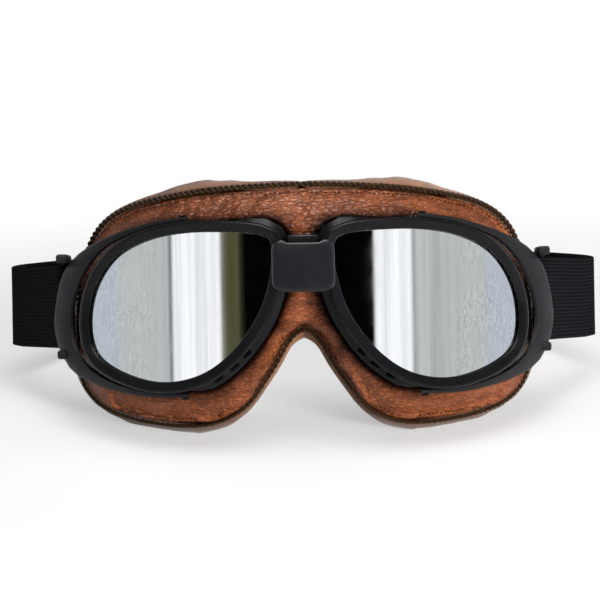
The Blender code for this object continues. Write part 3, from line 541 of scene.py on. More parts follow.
def puff(obj, pinned, swell, pressure, cap):
    """Lets a sewn sheet swell and gather between its sewn edges, by cloth simulation."""
    rest = points_of(obj)
    only(obj)
    sewn = obj.vertex_groups.new(name="sewn")
    sewn.add([int(i) for i in pinned], 1.0, "REPLACE")
    cloth = obj.modifiers.new("cloth", "CLOTH")
    for name, value in CLOTH.items():
        setattr(cloth.settings, name, value)
    cloth.settings.vertex_group_mass = "sewn"
    cloth.settings.shrink_min = -swell
    cloth.settings.use_pressure = True
    cloth.settings.uniform_pressure_force = pressure
    cloth.settings.effector_weights.gravity = 0
    cloth.collision_settings.use_collision = False
    cloth.point_cache.frame_end = CLOTH_STEPS
    for step in range(1, CLOTH_STEPS + 1):
        bpy.context.scene.frame_set(step)
    bpy.ops.object.modifier_apply(modifier=cloth.name)
    bpy.context.scene.frame_set(1)
    moved = points_of(obj) - rest
    far = np.linalg.norm(moved, axis=1)
    put_points(obj, rest + moved * np.minimum(1, cap / np.maximum(far, cap / 10))[:, None])
    obj.vertex_groups.clear()


def route_back():
    """Centre line of the strap behind the head, from the left side to the middle."""
    start = along_strap(STRAP_STRAIGHT, -layer_offset())
    side = start.x + STRAP_FLARE
    half = [(start.x, start.y)] + [(side * x, start.y + STRAP_BACK_DEPTH * y) for x, y in STRAP_TURN_SHARES]
    before = along_strap(0, -layer_offset())
    ahead = np.vstack([(before.x, before.y), half, (-half[-2][0], half[-2][1])])
    dense = []
    for a, b, c, d in zip(ahead, ahead[1:], ahead[2:], ahead[3:]):
        for t in np.linspace(0, 1, BEND_STEPS, endpoint=False):
            bend, twist = 2 * a - 5 * b + 4 * c - d, 3 * b - a - 3 * c + d
            dense.append((2 * b + (c - a) * t + bend * t**2 + twist * t**3) / 2)
    dense = np.array(dense + [half[-1]])
    rise = STRAP_BACK_RISE * (dense[:, 1] - start.y) / STRAP_BACK_DEPTH
    return np.column_stack([dense, STRAP_Z + rise])


def moved_out(route, distance):
    """A strap's line moved out from the head, square to its own direction."""
    along = np.gradient(route[:, :2], axis=0)
    along /= np.linalg.norm(along, axis=1)[:, None]
    return route + np.column_stack([along[:, 1], -along[:, 0], np.zeros(len(route))]) * distance


def far_along(route):
    """How far along a line each of its points is."""
    return np.r_[0, np.cumsum(np.linalg.norm(np.diff(route, axis=0), axis=1))]


def along_strap(distance, out):
    """A place on the straight stretch: distance from the bar, and out from the head."""
    direction = Vector((cos(STRAP_DIRECTION), sin(STRAP_DIRECTION), 0))
    normal = Vector((sin(STRAP_DIRECTION), -cos(STRAP_DIRECTION), 0))
    return Vector((*BAR, STRAP_Z)) + direction * distance + normal * out


def layer_offset():
    """From the strap bar's centre to the middle of the layer that lies on it."""
    return BAR_RADIUS + EDGE_CLEARANCE + STRAP_THICKNESS / 2


def band(name, points):
    """A strap along a line: a grid of the strap's real length and width, given its thickness and bent."""
    line, length = evenly(points, LINE_STEP, False)
    made = new_shape(bpy.ops.mesh.primitive_grid_add, name, x_subdivisions=round(length / GRID_STEP),
                     y_subdivisions=GRID_ROWS, size=1)
    stand = Matrix(((length, 0, 0, length / 2), (0, 0, -1, 0), (0, STRAP_WIDTH, 0, 0), (0, 0, 0, 1)))
    made.data.transform(stand)
    for place in made.data.uv_layers.active.data:
        place.uv = (place.uv[0] * length, place.uv[1] * STRAP_WIDTH)
    modify(made, "SOLIDIFY", thickness=STRAP_THICKNESS, offset=0)
    round_edges(made, *STRAP_EDGE)
    bend_along(made, line, False, upright=True)
    made.data.transform(STANCE)
    smooth(made)
    return made


# Settings of a Mix node on colours: one laid over the other, or one multiplied by the other
OVER = {"data_type": "RGBA", "blend_type": "MIX", "out": 2}
TINT = {"data_type": "RGBA", "blend_type": "MULTIPLY", "out": 2}


def leather_look(colour):
    """Coated leather: the pebble grain breaks the sheen up; painted shade darkens its valleys and creases,
    and goes near black beside its sewn edges.
    """
    made, node, shader = new_look("embossed brown PU leather", colour, 0.4)
    place = node("TexCoord", out="Object")
    stir = node("TexNoise", {"Vector": place, "Scale": per(2.4), "Detail": 2.0}, out=1)
    shift = node("VectorMath", {0: stir, 1: (PEBBLE_SHIFT,) * 3}, operation="MULTIPLY")
    moved = node("VectorMath", {0: place, 1: shift}, operation="ADD")
    lying = node("Mapping", {"Vector": moved, "Scale": (0.62, 1.0, 1.25)})
    cells = node("TexVoronoi", {"Vector": lying, "Scale": per(1.7)}, out="Distance",
                 feature="DISTANCE_TO_EDGE")
    long_way = node("Mapping", {"Vector": place, "Scale": (0.5, 1.0, 1.5)})
    creases = node("TexNoise", {"Vector": long_way, "Scale": per(6.5), "Detail": 3.5, "Roughness": 0.6})
    # Painted shade: the pebbles' valleys and the creases' hollows are darkened in the base colour
    grain_valley_shade = node("ValToRGB", {0: cells}, [(0.0, (0.22, 0.2, 0.18, 1)), (0.22, 1.0)])
    crease_shade = node("ValToRGB", {0: creases}, [(0.34, (0.42, 0.37, 0.34, 1)), (0.54, 1.0)])
    patches = node("TexNoise", {"Vector": place, "Scale": per(22), "Detail": 5.0, "Roughness": 0.6})
    tone = node("ValToRGB", {0: patches},
                [(0.32, shaded(colour, 0.68)), (0.5, colour), (0.72, shaded(colour, 1.22, 0.012))])
    grained = node("Mix", {0: 0.6, 6: tone, 7: grain_valley_shade}, **TINT)
    shade_darkened_tone = node("Mix", {0: 0.7, 6: grained, 7: crease_shade}, **TINT)
    # Painted shade beside the sewn edges: the base colour goes near black there and the gloss is dulled
    painted_tuck_shade = node("Attribute", attribute_name="painted_tuck_shade", out="Fac")
    near_black_shade = node("ValToRGB", {0: painted_tuck_shade}, [(0.0, 1.0), (1.0, (0.05, 0.03, 0.025, 1))])
    dulled = node("Math", {0: painted_tuck_shade, 1: 0.22}, operation="MULTIPLY")
    uneven = node("TexNoise", {"Vector": place, "Scale": per(5), "Detail": 3.0, "Roughness": 0.5})
    pebbles = node("ValToRGB", {0: cells}, [(0.0, 0.0), (0.3, 1.0)])
    folds = node("Bump", {"Height": creases, "Distance": CREASE_DEPTH, "Strength": 0.9})
    set_inputs(shader, {
        "Base Color": node("Mix", {0: 1.0, 6: shade_darkened_tone, 7: near_black_shade}, **TINT),
        "Specular IOR Level": node("Math", {0: 0.26, 1: dulled}, operation="SUBTRACT"),
        "Roughness": node("ValToRGB", {0: uneven}, [(0.3, 0.27), (0.7, 0.4)]),
        "Normal": node("Bump", {"Height": pebbles, "Distance": PEBBLE_DEPTH, "Strength": 1.0,
                                "Normal": folds}),
    })
    return made


def lining_look(colour):
    """Brushed polyester velour: short soft pile that scatters light, with painted shade towards its bottom,
    near the floor.
    """
    made, node, shader = new_look("brushed tan velour lining", colour, 0.92, gloss=0.2)
    place = node("TexCoord", out="Object")
    nap = node("TexNoise", {"Vector": place, "Scale": per(6), "Detail": 6.0, "Roughness": 0.75})
    pile = node("ValToRGB", {0: nap},
                [(0.3, shaded(colour, 0.6)), (0.55, colour), (0.75, shaded(colour, 1.25))])
    # Painted shade: the lining darkens towards the bottom, near the floor
    height = node("SeparateXYZ", {0: place}, out="Z")
    painted_low_shade = node("ValToRGB", {0: height}, [(0.006, (0.42, 0.38, 0.36, 1)), (0.034, 1.0)])
    fibres = node("TexNoise", {"Vector": place, "Scale": per(0.5), "Detail": 2.0, "Roughness": 0.7})
    set_inputs(shader, {
        "Base Color": node("Mix", {0: 1.0, 6: pile, 7: painted_low_shade}, **TINT),
        "Sheen Weight": 0.35,
        "Sheen Roughness": 0.5,
        "Normal": node("Bump", {"Height": fibres, "Distance": PILE_DEPTH, "Strength": 0.8}),
    })
    return made


def foam_look():
    """Reticulated polyurethane foam: open cells that read as fine dark pits, darkened with painted shade."""
    made, node, shader = new_look("open cell PU foam", srgb("5A5956"), 1.0, gloss=0.1)
    place = node("TexCoord", out="Object")
    cells = node("TexVoronoi", {"Vector": place, "Scale": per(0.8)}, out="Distance")
    # Painted shade: the cells' pits are darker in the base colour
    set_inputs(shader, {
        "Base Color": node("ValToRGB", {0: cells}, [(0.1, srgb("2A2928")), (0.5, srgb("6A6965"))]),
        "Normal": node("Bump", {"Height": cells, "Distance": FOAM_CELL_DEPTH, "Strength": 1.0}),
    })
    return made


def nylon_look(name, colour, roughness, texture, relief, gloss):
    """Plastic from a spark-eroded mould: a fine even texture, polished a little on its edges."""
    made, node, shader = new_look(name, colour, roughness, gloss=gloss)
    place = node("TexCoord", out="Object")
    smudge = node("TexNoise", {"Vector": place, "Scale": per(9), "Detail": 5.0, "Roughness": 0.6})
    edge = node("NewGeometry", out="Pointiness")
    rub = node("ValToRGB", {0: edge}, [(0.52, 0.0), (0.6, 1.0)])
    uneven = node("Math", {0: smudge, 1: 0.6}, operation="MULTIPLY")
    patchy = node("Math", {0: rub, 1: uneven}, operation="MULTIPLY")
    grain = node("TexNoise", {"Vector": place, "Scale": per(texture), "Detail": 3.0, "Roughness": 0.6})
    set_inputs(shader, {
        "Base Color": node("Mix", {0: patchy, 6: colour, 7: shaded(colour, 2.0, 0.004)}, **OVER),
        "Roughness": node("ValToRGB", {0: smudge}, [(0.3, roughness * 0.82), (0.7, min(1, roughness * 1.2))]),
        "Normal": node("Bump", {"Height": grain, "Distance": relief, "Strength": 0.6}),
    })
    return made


def mirror_look():
    """Silver flash coating on polycarbonate: a bright mirror with the faint haze of wiping."""
    made, node, shader = new_look("silver mirror coated polycarbonate", srgb("E3E6E8"), 0.03, 1.0)
    place = node("TexCoord", out="Object")
    haze = node("TexNoise", {"Vector": place, "Scale": per(12), "Detail": 4.0, "Roughness": 0.6})
    waves = node("TexNoise", {"Vector": place, "Scale": per(30), "Detail": 1.0, "Roughness": 0.5})
    set_inputs(shader, {
        "Roughness": node("ValToRGB", {0: haze}, [(0.35, 0.02), (0.75, 0.075)]),
        "Normal": node("Bump", {"Height": waves, "Distance": LENS_WAVE_DEPTH, "Strength": 0.5}),
    })
    return made


def smoke_look():
    """Uncoated inner face of the lens: smoke grey polycarbonate, glossy and dark."""
    made, node, shader = new_look("smoke grey polycarbonate", srgb("34383B"), 0.08, gloss=0.5)
    place = node("TexCoord", out="Object")
    cloud = node("TexNoise", {"Vector": place, "Scale": per(18), "Detail": 3.0, "Roughness": 0.5})
    set_inputs(shader, {
        "Base Color": node("ValToRGB", {0: cloud}, [(0.3, srgb("2C3033")), (0.7, srgb("3D4144"))]),
    })
    return made


def webbing_look(name, colour):
    """Knitted elastic: rubber cores make ribs along the strap, and the nylon cover crosses them."""
    made, node, shader = new_look(name, colour, 0.95, gloss=0.03)
    place = node("TexCoord", out="UV")
    ribs = node("TexWave", {"Vector": place, "Scale": wave_scale(1.3), "Distortion": 0.0}, out=1,
                wave_type="BANDS", bands_direction="Y")
    picks = node("TexWave", {"Vector": place, "Scale": wave_scale(0.9), "Distortion": 0.6}, out=1,
                 wave_type="BANDS", bands_direction="X")
    fine = node("Math", {0: picks, 1: 0.45}, operation="MULTIPLY")
    weave = node("Math", {0: ribs, 1: fine}, operation="ADD")
    set_inputs(shader, {
        "Base Color": node("ValToRGB", {0: weave}, [(0.2, colour), (1.0, shaded(colour, 2.5, 0.003))]),
        "Normal": node("Bump", {"Height": weave, "Distance": RIB_DEPTH, "Strength": 0.8}),
    })
    return made


def wave_scale(size):
    """Scale of a wave pattern whose bands are a real size in millimetres apart."""
    return per(size) / 20 * pi * 2


def thread_look(name, colour, glint):
    """Bonded polyester thread: twisted plies with a slight shine along the twist, and a painted glint colour
    in random patches.
    """
    made, node, shader = new_look(name, colour, 0.65, gloss=0.2)
    place = node("TexCoord", out="Object")
    # Painted highlight: a paler glint colour laid over the thread in random patches
    painted_glint_spread = node("TexNoise", {"Vector": place, "Scale": per(2.2), "Detail": 4.0, "Roughness": 0.7})
    fibre = node("TexNoise", {"Vector": place, "Scale": per(0.35), "Detail": 3.0, "Roughness": 0.7})
    set_inputs(shader, {
        "Base Color": node("ValToRGB", {0: painted_glint_spread}, [(0.3, colour), (0.7, glint)]),
        "Normal": node("Bump", {"Height": fibre, "Distance": FIBRE_DEPTH, "Strength": 0.7}),
    })
    return made


def steel_look():
    """Blackened steel: fine tool marks under the black oxide spread the highlight."""
    made, node, shader = new_look("blackened turned steel", srgb("2C2C2E"), 0.4, 1.0)
    place = node("TexCoord", out="Object")
    marks = node("TexNoise", {"Vector": place, "Scale": per(0.25), "Detail": 2.0, "Roughness": 0.5})
    set_inputs(shader, {
        "Normal": node("Bump", {"Height": marks, "Distance": TOOL_MARK_DEPTH, "Strength": 0.5}),
    })
    return made


LOOKS = {}


def make_looks(sizes):
    """All finishes, made once and shared by the pieces."""
    LOOKS["leather"] = leather_look((*sizes.leather_colour, 1))
    LOOKS["lining"] = lining_look((*sizes.lining_colour, 1))
    LOOKS["foam"] = foam_look()
    LOOKS["black"] = nylon_look("black moulded nylon", srgb("09090B"), 0.27, 0.35, 0.00002, 0.15)
    LOOKS["charcoal"] = nylon_look("charcoal textured nylon", srgb("161618"), 0.48, 0.5, 0.00005, 0.15)
    LOOKS["badge"] = nylon_look("satin black ABS", srgb("161619"), 0.27, 1.2, 0.000006, 0.2)
    LOOKS["acetal"] = nylon_look("black acetal", srgb("0E0E10"), 0.34, 0.8, 0.00001, 0.35)
    LOOKS["mirror"] = mirror_look()
    LOOKS["smoke"] = smoke_look()
    LOOKS["webbing"] = webbing_look("knitted black elastic", srgb("060608"))
    LOOKS["edging"] = thread_look("dark brown overlock thread", srgb("1B1009"), srgb("33210F"))
    LOOKS["stitch"] = thread_look("dark brown stitching thread", srgb("24130B"), srgb("3E2515"))
    LOOKS["red stitch"] = thread_look("red brown stitching thread", srgb("6E2C1A"), srgb("94472C"))
    LOOKS["black thread"] = thread_look("black stitching thread", srgb("101011"), srgb("2C2C2E"))
    LOOKS["steel"] = steel_look()


def make_rims():
    """The convex rims that hold the lenses, and the clips that hold the rims."""
    rim = copy_of("left_lens_rim", "left_rim")
    round_edges(rim, *RIM_EDGE)
    modify(rim, "SUBSURF", levels=2, render_levels=2)
    smooth(rim)
    both_sides(rim, "frame", "black_nylon", LOOKS["black"], stands_for=["left_lens_rim"])
    make_clips()


def make_cups():
    """The eyecups behind the rims, and the turned pins that the arms swing on."""
    cup = hard_copy("left_eyecup", "left_cup", "eyecup")
    both_sides(cup, "frame", "black_nylon", LOOKS["black"], stands_for=["left_eyecup"])
    for pin in ("upper_pivot_pin", "lower_pivot_pin"):
        head = hard_copy("left_" + pin, "left_" + pin + "_turned", "pin")
        both_sides(head, "frame", "steel_pin", LOOKS["steel"], stands_for=["left_" + pin])


def make_lenses():
    """Each lens is a grid laid exactly on the wrap curve, so that its reflections run clean."""
    solid = points_of(frame["nodes"]["left_lens"])
    own = moved_by(solid, UPRIGHT)
    middle_depth = (LENS_FRONT_DEPTH + LENS_BACK_DEPTH) / 2
    front = own[:, 1] - np.array([wrap(x) for x in own[:, 0]]) < middle_depth
    rim = own[front][:, (0, 2)] - np.array(LENS_CENTRE)
    turns, reaches = outline_reach(np.arctan2(rim[:, 1], rim[:, 0]), np.linalg.norm(rim, axis=1))
    lens = new_shape(bpy.ops.mesh.primitive_grid_add, "left_mirror_lens", x_subdivisions=LENS_STEPS,
                     y_subdivisions=LENS_STEPS, size=2)
    square = points_of(lens)
    out = np.abs(square[:, :2]).max(axis=1)
    angle = np.arctan2(square[:, 1], square[:, 0])
    far = out * np.interp(angle, turns, reaches)
    x, z = LENS_CENTRE[0] + far * np.cos(angle), LENS_CENTRE[1] + far * np.sin(angle)
    y = np.array([wrap(side) for side in x]) + LENS_FRONT_DEPTH
    put_points(lens, np.column_stack([x, y, z]))
    modify(lens, "SOLIDIFY", thickness=LENS_BACK_DEPTH - LENS_FRONT_DEPTH, offset=-1)
    round_edges(lens, *LENS_EDGE)
    lens.data.transform(STANCE)
    recalculate(lens)
    for piece in both_sides(lens, "frame", "mirror_lens", LOOKS["mirror"], LOOKS["smoke"],
                            stands_for=["left_lens"]):
        for face in piece.data.polygons:
            place = UPRIGHT @ face.center
            if place.y - wrap(place.x) > middle_depth:
                face.material_index = 1


def outline_reach(turn, reach):
    """The farthest reach in each direction of a closed outline, ready to be read between directions."""
    steps = np.linspace(-pi, pi, EDGE_READINGS + 1)
    best = []
    for low, high in zip(steps, steps[1:]):
        inside = (turn >= low) & (turn < high)
        if inside.any():
            pick = np.flatnonzero(inside)[np.argmax(reach[inside])]
            best.append((turn[pick], reach[pick]))
    best = np.array(best)
    around = np.vstack([best[-1] - (2 * pi, 0), best, best[0] + (2 * pi, 0)])
    return around[:, 0], around[:, 1]


def make_arms():
    """The C-shaped outriggers that swing on the pins and carry the strap."""
    arm = hard_copy("left_outrigger", "left_arm_moulding", "arm")
    both_sides(arm, "left_arm", "charcoal_nylon", LOOKS["charcoal"], stands_for=["left_outrigger"])


def make_bridge():
    """The bare badge over the bridge, and the link behind it that joins the eyecups."""
    badge = hard_copy("bridge_badge", "badge_plate", "badge")
    dress(badge, "frame", "badge_black", LOOKS["badge"], stands_for=["bridge_badge"])
    link = hard_copy("bridge_link", "link_block", "link")
    dress(link, "frame", "black_nylon", LOOKS["black"], stands_for=["bridge_link"])


def sewn_distance(points, loops):
    """Each point's distance to the eye openings and to the outer seam."""
    from_eyes = np.full(len(points), 1.0)
    for loop in loops[1:]:
        from_eyes = np.minimum(from_eyes, nearest(points, points[loop]))
    return from_eyes, nearest(points, points[loops[0]])


def nearest(points, others, at_once=2000):
    """Each point's distance to the nearest of some others, worked out for a part of the points at once."""
    best = np.empty(len(points))
    for start in range(0, len(points), at_once):
        part = points[start:start + at_once]
        best[start:start + at_once] = np.linalg.norm(part[:, None] - others[None], axis=2).min(axis=1)
    return best


def make_pad(sizes):
    """The leather facing puffs between its two sewn edges; the lining and foam fill the back."""
    x, behind, z = LEATHER_SEED
    facing = outer_sheet("leather_facing", "leather_pad", STANCE @ Vector((x, wrap(x) + behind, z)))
    modify(facing, "SUBSURF", levels=3, render_levels=3)
    loops = open_loops(facing)
    seam = points_of(facing)[loops[0]]
    sewn = [i for loop in loops for i in loop]
    puff(facing, sewn, sizes.swell, sizes.pressure, sizes.most_swell)
    wrinkle(facing, loops, sizes)
    surface = surface_of(facing)
    modify(facing, "SOLIDIFY", thickness=LEATHER_THICKNESS, offset=-1)
    smooth(facing)
    dress(facing, "frame", "brown_leather", LOOKS["leather"], stands_for=["leather_facing"])

    for node, name in (("left_face_lining", "left_velour_lining"),
                       ("left_eye_lining", "left_velour_tunnel")):
        lining = soft_copy(node, name, 2)
        spread_lining(lining)
        smooth(lining)
        for piece in both_sides(lining, "frame", "tan_lining", LOOKS["lining"], stands_for=[node]):
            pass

    core = soft_copy("foam_core", "pad_foam", 1)
    modify(core, "DISPLACE", strength=-FOAM_CLEARANCE, mid_level=0)
    smooth(core)
    dress(core, "frame", "foam", LOOKS["foam"], stands_for=["foam_core"])
    return seam, surface


def surface_of(obj):
    """A piece's surface, to lay stitches on."""
    return BVHTree.FromPolygons([v.co for v in obj.data.vertices], [p.vertices for p in obj.data.polygons])


def spread_lining(lining):
    """Closes the lining's two halves together, and lets it bulge past the seam in a few places."""
    points = moved_by(points_of(lining), UPRIGHT)
    points[points[:, 0] < HALF_GAP, 0] = 0
    for x, z, reach, rise in LINING_BULGES:
        way = np.sign(z)
        near = np.exp(-np.square((points[:, 0] - x) / reach))
        near *= np.clip((points[:, 2] * way - abs(z)) / BULGE_FADE, 0, 1)
        waves = np.array([perlin(Vector((across * BULGE_WAVES, 3.5, way))) for across in points[:, 0]])
        points[:, 2] += way * rise * near * (1 + BULGE_UNEVENNESS * waves)
    near = np.exp(-np.square((points[:, 2] - SIDE_BULGE_Z) / SIDE_BULGE_REACH))
    near *= np.clip((points[:, 0] - SIDE_BULGE_X) / SIDE_BULGE_FADE, 0, 1)
    points[:, 0] += SIDE_BULGE * near
    placed = moved_by(points, STANCE)
    placed[:, 2] = np.maximum(placed[:, 2], FLOOR_CLEARANCE)
    put_points(lining, placed)


def wrinkle(facing, loops, sizes):
    """Gathers that run across the leather, deepest above the bridge, and soft unevenness elsewhere."""
    points = points_of(facing)
    normals = np.array([vertex.normal for vertex in facing.data.vertices])
    own = moved_by(points, UPRIGHT)
    from_eyes, from_seam = sewn_distance(points, loops)
    share = from_eyes / (from_eyes + from_seam)
    bridge = np.exp(-np.square(own[:, 0] / BRIDGE_REACH)) * np.clip(own[:, 2] / BRIDGE_HEIGHT, 0, 1)
    top = np.clip((own[:, 2] - TOP_FROM) / TOP_FADE, 0, 1)
    depth = GATHER_ALL_OVER + GATHER_BRIDGE * bridge + GATHER_TOP * top
    round_eye = np.arctan2(own[:, 2], np.abs(own[:, 0]) - LENS_CENTRE[0]) * EYE_RADIUS
    rise = []
    for place, along, part in zip(own, round_eye, share):
        # Each half reads the noise at its own place, so that the two sides aren't mirror twins
        left = place[0] > 0
        fold = perlin(Vector((along * FOLDS[0] + left * 31, part * FOLDS[1], 0.5)))
        fine = perlin(Vector((along * FINE_FOLDS[0], part * FINE_FOLDS[1], 7.5 + left)))
        lump = perlin(Vector(place * LUMPS[0]))
        rise.append(fold * FOLDS[2] + fine * FINE_FOLDS[2] + lump * LUMPS[1])
    rise = np.array(rise) * depth * sizes.gather_depth * np.sin(pi * np.clip(share, 0, 1)) ** 0.7
    put_points(facing, points + normals * rise[:, None])
    # Painted shade beside the eyes and the seam, kept on the points for the leather's colour
    shade = facing.data.attributes.new("painted_tuck_shade", "FLOAT", "POINT")
    painted_tuck_shade = EYE_PAINTED_SHADE[0] * np.exp(-from_eyes / EYE_PAINTED_SHADE[1])
    painted_tuck_shade += SEAM_PAINTED_SHADE[0] * np.exp(-from_seam / SEAM_PAINTED_SHADE[1])
    shade.data.foreach_set("value", np.minimum(1, painted_tuck_shade).astype(np.float32))


def make_edging(seam, sizes):
    """Two plies of thread twisted along the bound edge, just beyond the leather's sewn edge."""
    own = moved_by(np.array(seam), UPRIGHT)
    along = np.roll(own, -4, axis=0) - np.roll(own, 4, axis=0)
    out = np.stack([-along[:, 2], np.zeros(len(own)), along[:, 0]], axis=1)
    out /= np.linalg.norm(out, axis=1)[:, None]
    if (out * (own - own.mean(axis=0))).sum() < 0:
        out = -out
    path = own + out * (BINDING_RADIUS + EDGE_CLEARANCE) + np.array([0, LEATHER_THICKNESS / 2, 0])
    path, _ = evenly(moved_by(path, STANCE), EDGE_STEP, True)
    length = np.linalg.norm(np.roll(path, -1, axis=0) - path, axis=1).sum()
    turns = round(length / sizes.ply_pitch)
    ply = BINDING_RADIUS * PLY_SHARE
    rope = new_shape(bpy.ops.mesh.primitive_circle_add, "overlocked_edge", vertices=8, radius=ply,
                     rotation=(0, pi / 2, 0))
    bpy.ops.object.transform_apply(location=True, rotation=True, scale=True)
    rope.data.transform(Matrix.Translation((0, BINDING_RADIUS - ply, 0)))
    modify(rope, "SCREW", axis="X", angle=2 * pi * turns, screw_offset=length, iterations=1,
           steps=turns * PLY_STEPS, render_steps=turns * PLY_STEPS, use_smooth_shade=True)
    second = bpy.data.objects.new("second ply", rope.data.copy())
    bpy.context.scene.collection.objects.link(second)
    second.data.transform(Matrix.Rotation(pi, 4, "X"))
    only(rope)
    second.select_set(True)
    bpy.ops.object.join()
    bend_along(rope, path, True)
    thin_below(rope, path)
    recalculate(rope)
    dress(rope, "frame", "dark_thread", LOOKS["edging"], stands_for=["edge_binding"])


def thin_below(rope, path):
    """Draws the bound edge in below the lenses and round the nose, where the photograph shows it thin."""
    points = points_of(rope)
    tree = KDTree(len(path))
    for number, point in enumerate(path):
        tree.insert(point, number)
    tree.balance()
    centre = np.array([path[tree.find(point)[1]] for point in points])
    height = moved_by(centre, UPRIGHT)[:, 2]
    share = 1 - THINNING * np.clip((THIN_FROM - height) / THIN_FADE, 0, 1)
    along = np.roll(path, -1, axis=0) - np.roll(path, 1, axis=0)
    along /= np.linalg.norm(along, axis=1)[:, None]
    way = np.array([along[tree.find(point)[1]] for point in points])
    off = points - centre
    ahead = (off * way).sum(axis=1)[:, None] * way
    put_points(rope, centre + ahead + (off - ahead) * share[:, None])


def recalculate(obj):
    """Merges doubled points and turns every face outwards."""
    only(obj)
    bpy.ops.object.mode_set(mode="EDIT")
    bpy.ops.mesh.select_all(action="SELECT")
    bpy.ops.mesh.remove_doubles(threshold=MERGE)
    bpy.ops.mesh.normals_make_consistent(inside=False)
    bpy.ops.object.mode_set(mode="OBJECT")
    bpy.ops.object.shade_smooth()


def make_stitches(seam, surface, sizes):
    """A row of stitches on the leather beside the bound edge."""
    line, _ = evenly(seam, SEAM_STEP, True)
    along = np.roll(line, -2, axis=0) - np.roll(line, 2, axis=0)
    middle = STANCE @ Vector((0, 0.02, 0))
    path = []
    for point, way in zip(line, along):
        _, normal, _, _ = surface.find_nearest(Vector(point))
        inwards = normal.cross(Vector(way)).normalized()
        if inwards.dot(middle - Vector(point)) < 0:
            inwards = -inwards
        path.append(laid_on(surface, Vector(point) + inwards * sizes.stitch_inset, sizes.stitch_thickness))
    row = stitch("seam_stitches", sizes.stitch_pitch * SEAM_STITCH, sizes.stitch_thickness)
    repeat_along(row, path, sizes.stitch_pitch, True)
    dress(row, "frame", "dark_thread", LOOKS["stitch"])

    shown = [laid_on(surface, STANCE @ Vector(point), GROOVE_BEAD[1]) for point in GROOVE_SEAM]
    beads = stitch("left_groove_stitches", *GROOVE_BEAD)
    repeat_along(beads, shown, GROOVE_PITCH, False)
    both_sides(beads, "frame", "dark_thread", LOOKS["red stitch"])


def laid_on(surface, point, thickness):
    """The place of a thread that lies partly sunk in the leather nearest to a point."""
    spot, normal, _, _ = surface.find_nearest(point)
    ahead = STANCE.to_3x3() @ Vector((0, -1, 0))
    return spot + normal * thickness * (THREAD_LIFT if normal.dot(ahead) > 0 else -THREAD_LIFT)


def make_clips():
    """Three snap clips that hold the rim on the eyecup, along its lower edge towards the nose."""
    parts = []
    ahead = Vector(CLIP_PLACES[2]) - Vector(CLIP_PLACES[0])
    turn = ahead.to_track_quat("X", "Z").to_matrix().to_4x4()
    for place in CLIP_PLACES:
        part = new_shape(bpy.ops.mesh.primitive_cube_add, "left_rim_clips", size=1)
        part.data.transform(Matrix.Diagonal((*CLIP_SIZE, 1)))
        part.data.transform(STANCE @ Matrix.Translation(place) @ turn)
        part.matrix_world = Matrix.Identity(4)
        parts.append(part)
    for part in parts:
        part.select_set(True)
    bpy.context.view_layer.objects.active = parts[0]
    bpy.ops.object.join()
    clips = parts[0]
    modify(clips, "BEVEL", width=CLIP_EDGE, segments=3)
    smooth(clips)
    both_sides(clips, "frame", "black_nylon", LOOKS["black"])


def strap_route():
    """The left half of the strap: from the middle behind, forward to the bar and back outside."""
    inner = route_back()
    layer = layer_offset()
    shares = np.linspace(0, 1, BEND_STEPS + 1)[1:]
    closing = OUTER_LAYER - 2 * layer
    route = [Vector(point) for point in inner[::-1]]
    route += [along_strap(STRAP_STRAIGHT * (1 - share), -layer) for share in shares]
    route += [along_strap(-layer * sin(pi * share), -layer * cos(pi * share)) for share in shares]
    route += [along_strap(STRAP_STRAIGHT * share, layer + closing * share) for share in shares]
    outer = moved_out(inner, OUTER_LAYER)[1:]
    return route + [Vector(point) for point in outer[far_along(inner)[1:] < STRAP_FLEX + LAP]]


def buckle_place():
    """The left buckle's place on the strap, the way that it slides and the way out from the head."""
    slide = next(joint for joint in frame["joints"] if joint["name"] == "left_buckle_slide")
    along = (UPRIGHT.to_3x3() @ Vector(slide["axis"])).normalized()
    reach = moved_by(points_of(frame["nodes"]["left_slide_buckle"]), UPRIGHT) @ np.array(along)
    route = route_back()
    behind = np.argmin(np.abs(route @ np.array(along) - (reach.min() + reach.max()) / 2))
    return Vector(route[behind]), along, Vector((along.y, -along.x, 0))


def end_route():
    """The strap's end: the last of the outer layer, round the buckle's bar and sewn down on itself."""
    place, along, out = buckle_place()
    inner = route_back()
    outer = moved_out(inner, OUTER_LAYER)
    ahead = (np.array(place) - inner) @ np.array(along) > TAIL_STOP
    route = [Vector(point) for point in outer[ahead & (far_along(inner) >= STRAP_FLEX)]]
    radius = BUCKLE_BAR_RADIUS + EDGE_CLEARANCE + STRAP_THICKNESS / 2
    places = [(-LOOP_TAIL, OUTER_LAYER), (-SEWN_LENGTH, OUTER_LAYER)]
    for share in np.linspace(0, 1, BEND_STEPS + 1):
        turn = LOOP_TURN * share
        places.append((radius * sin(turn), OUTER_LAYER + radius * (1 - cos(turn))))
    sewn = OUTER_LAYER + STRAP_THICKNESS + EDGE_CLEARANCE
    places += [(-SEWN_LENGTH, sewn), (-LOOP_TAIL, sewn)]
    return route + [place + along * on + out * off for on, off in places]


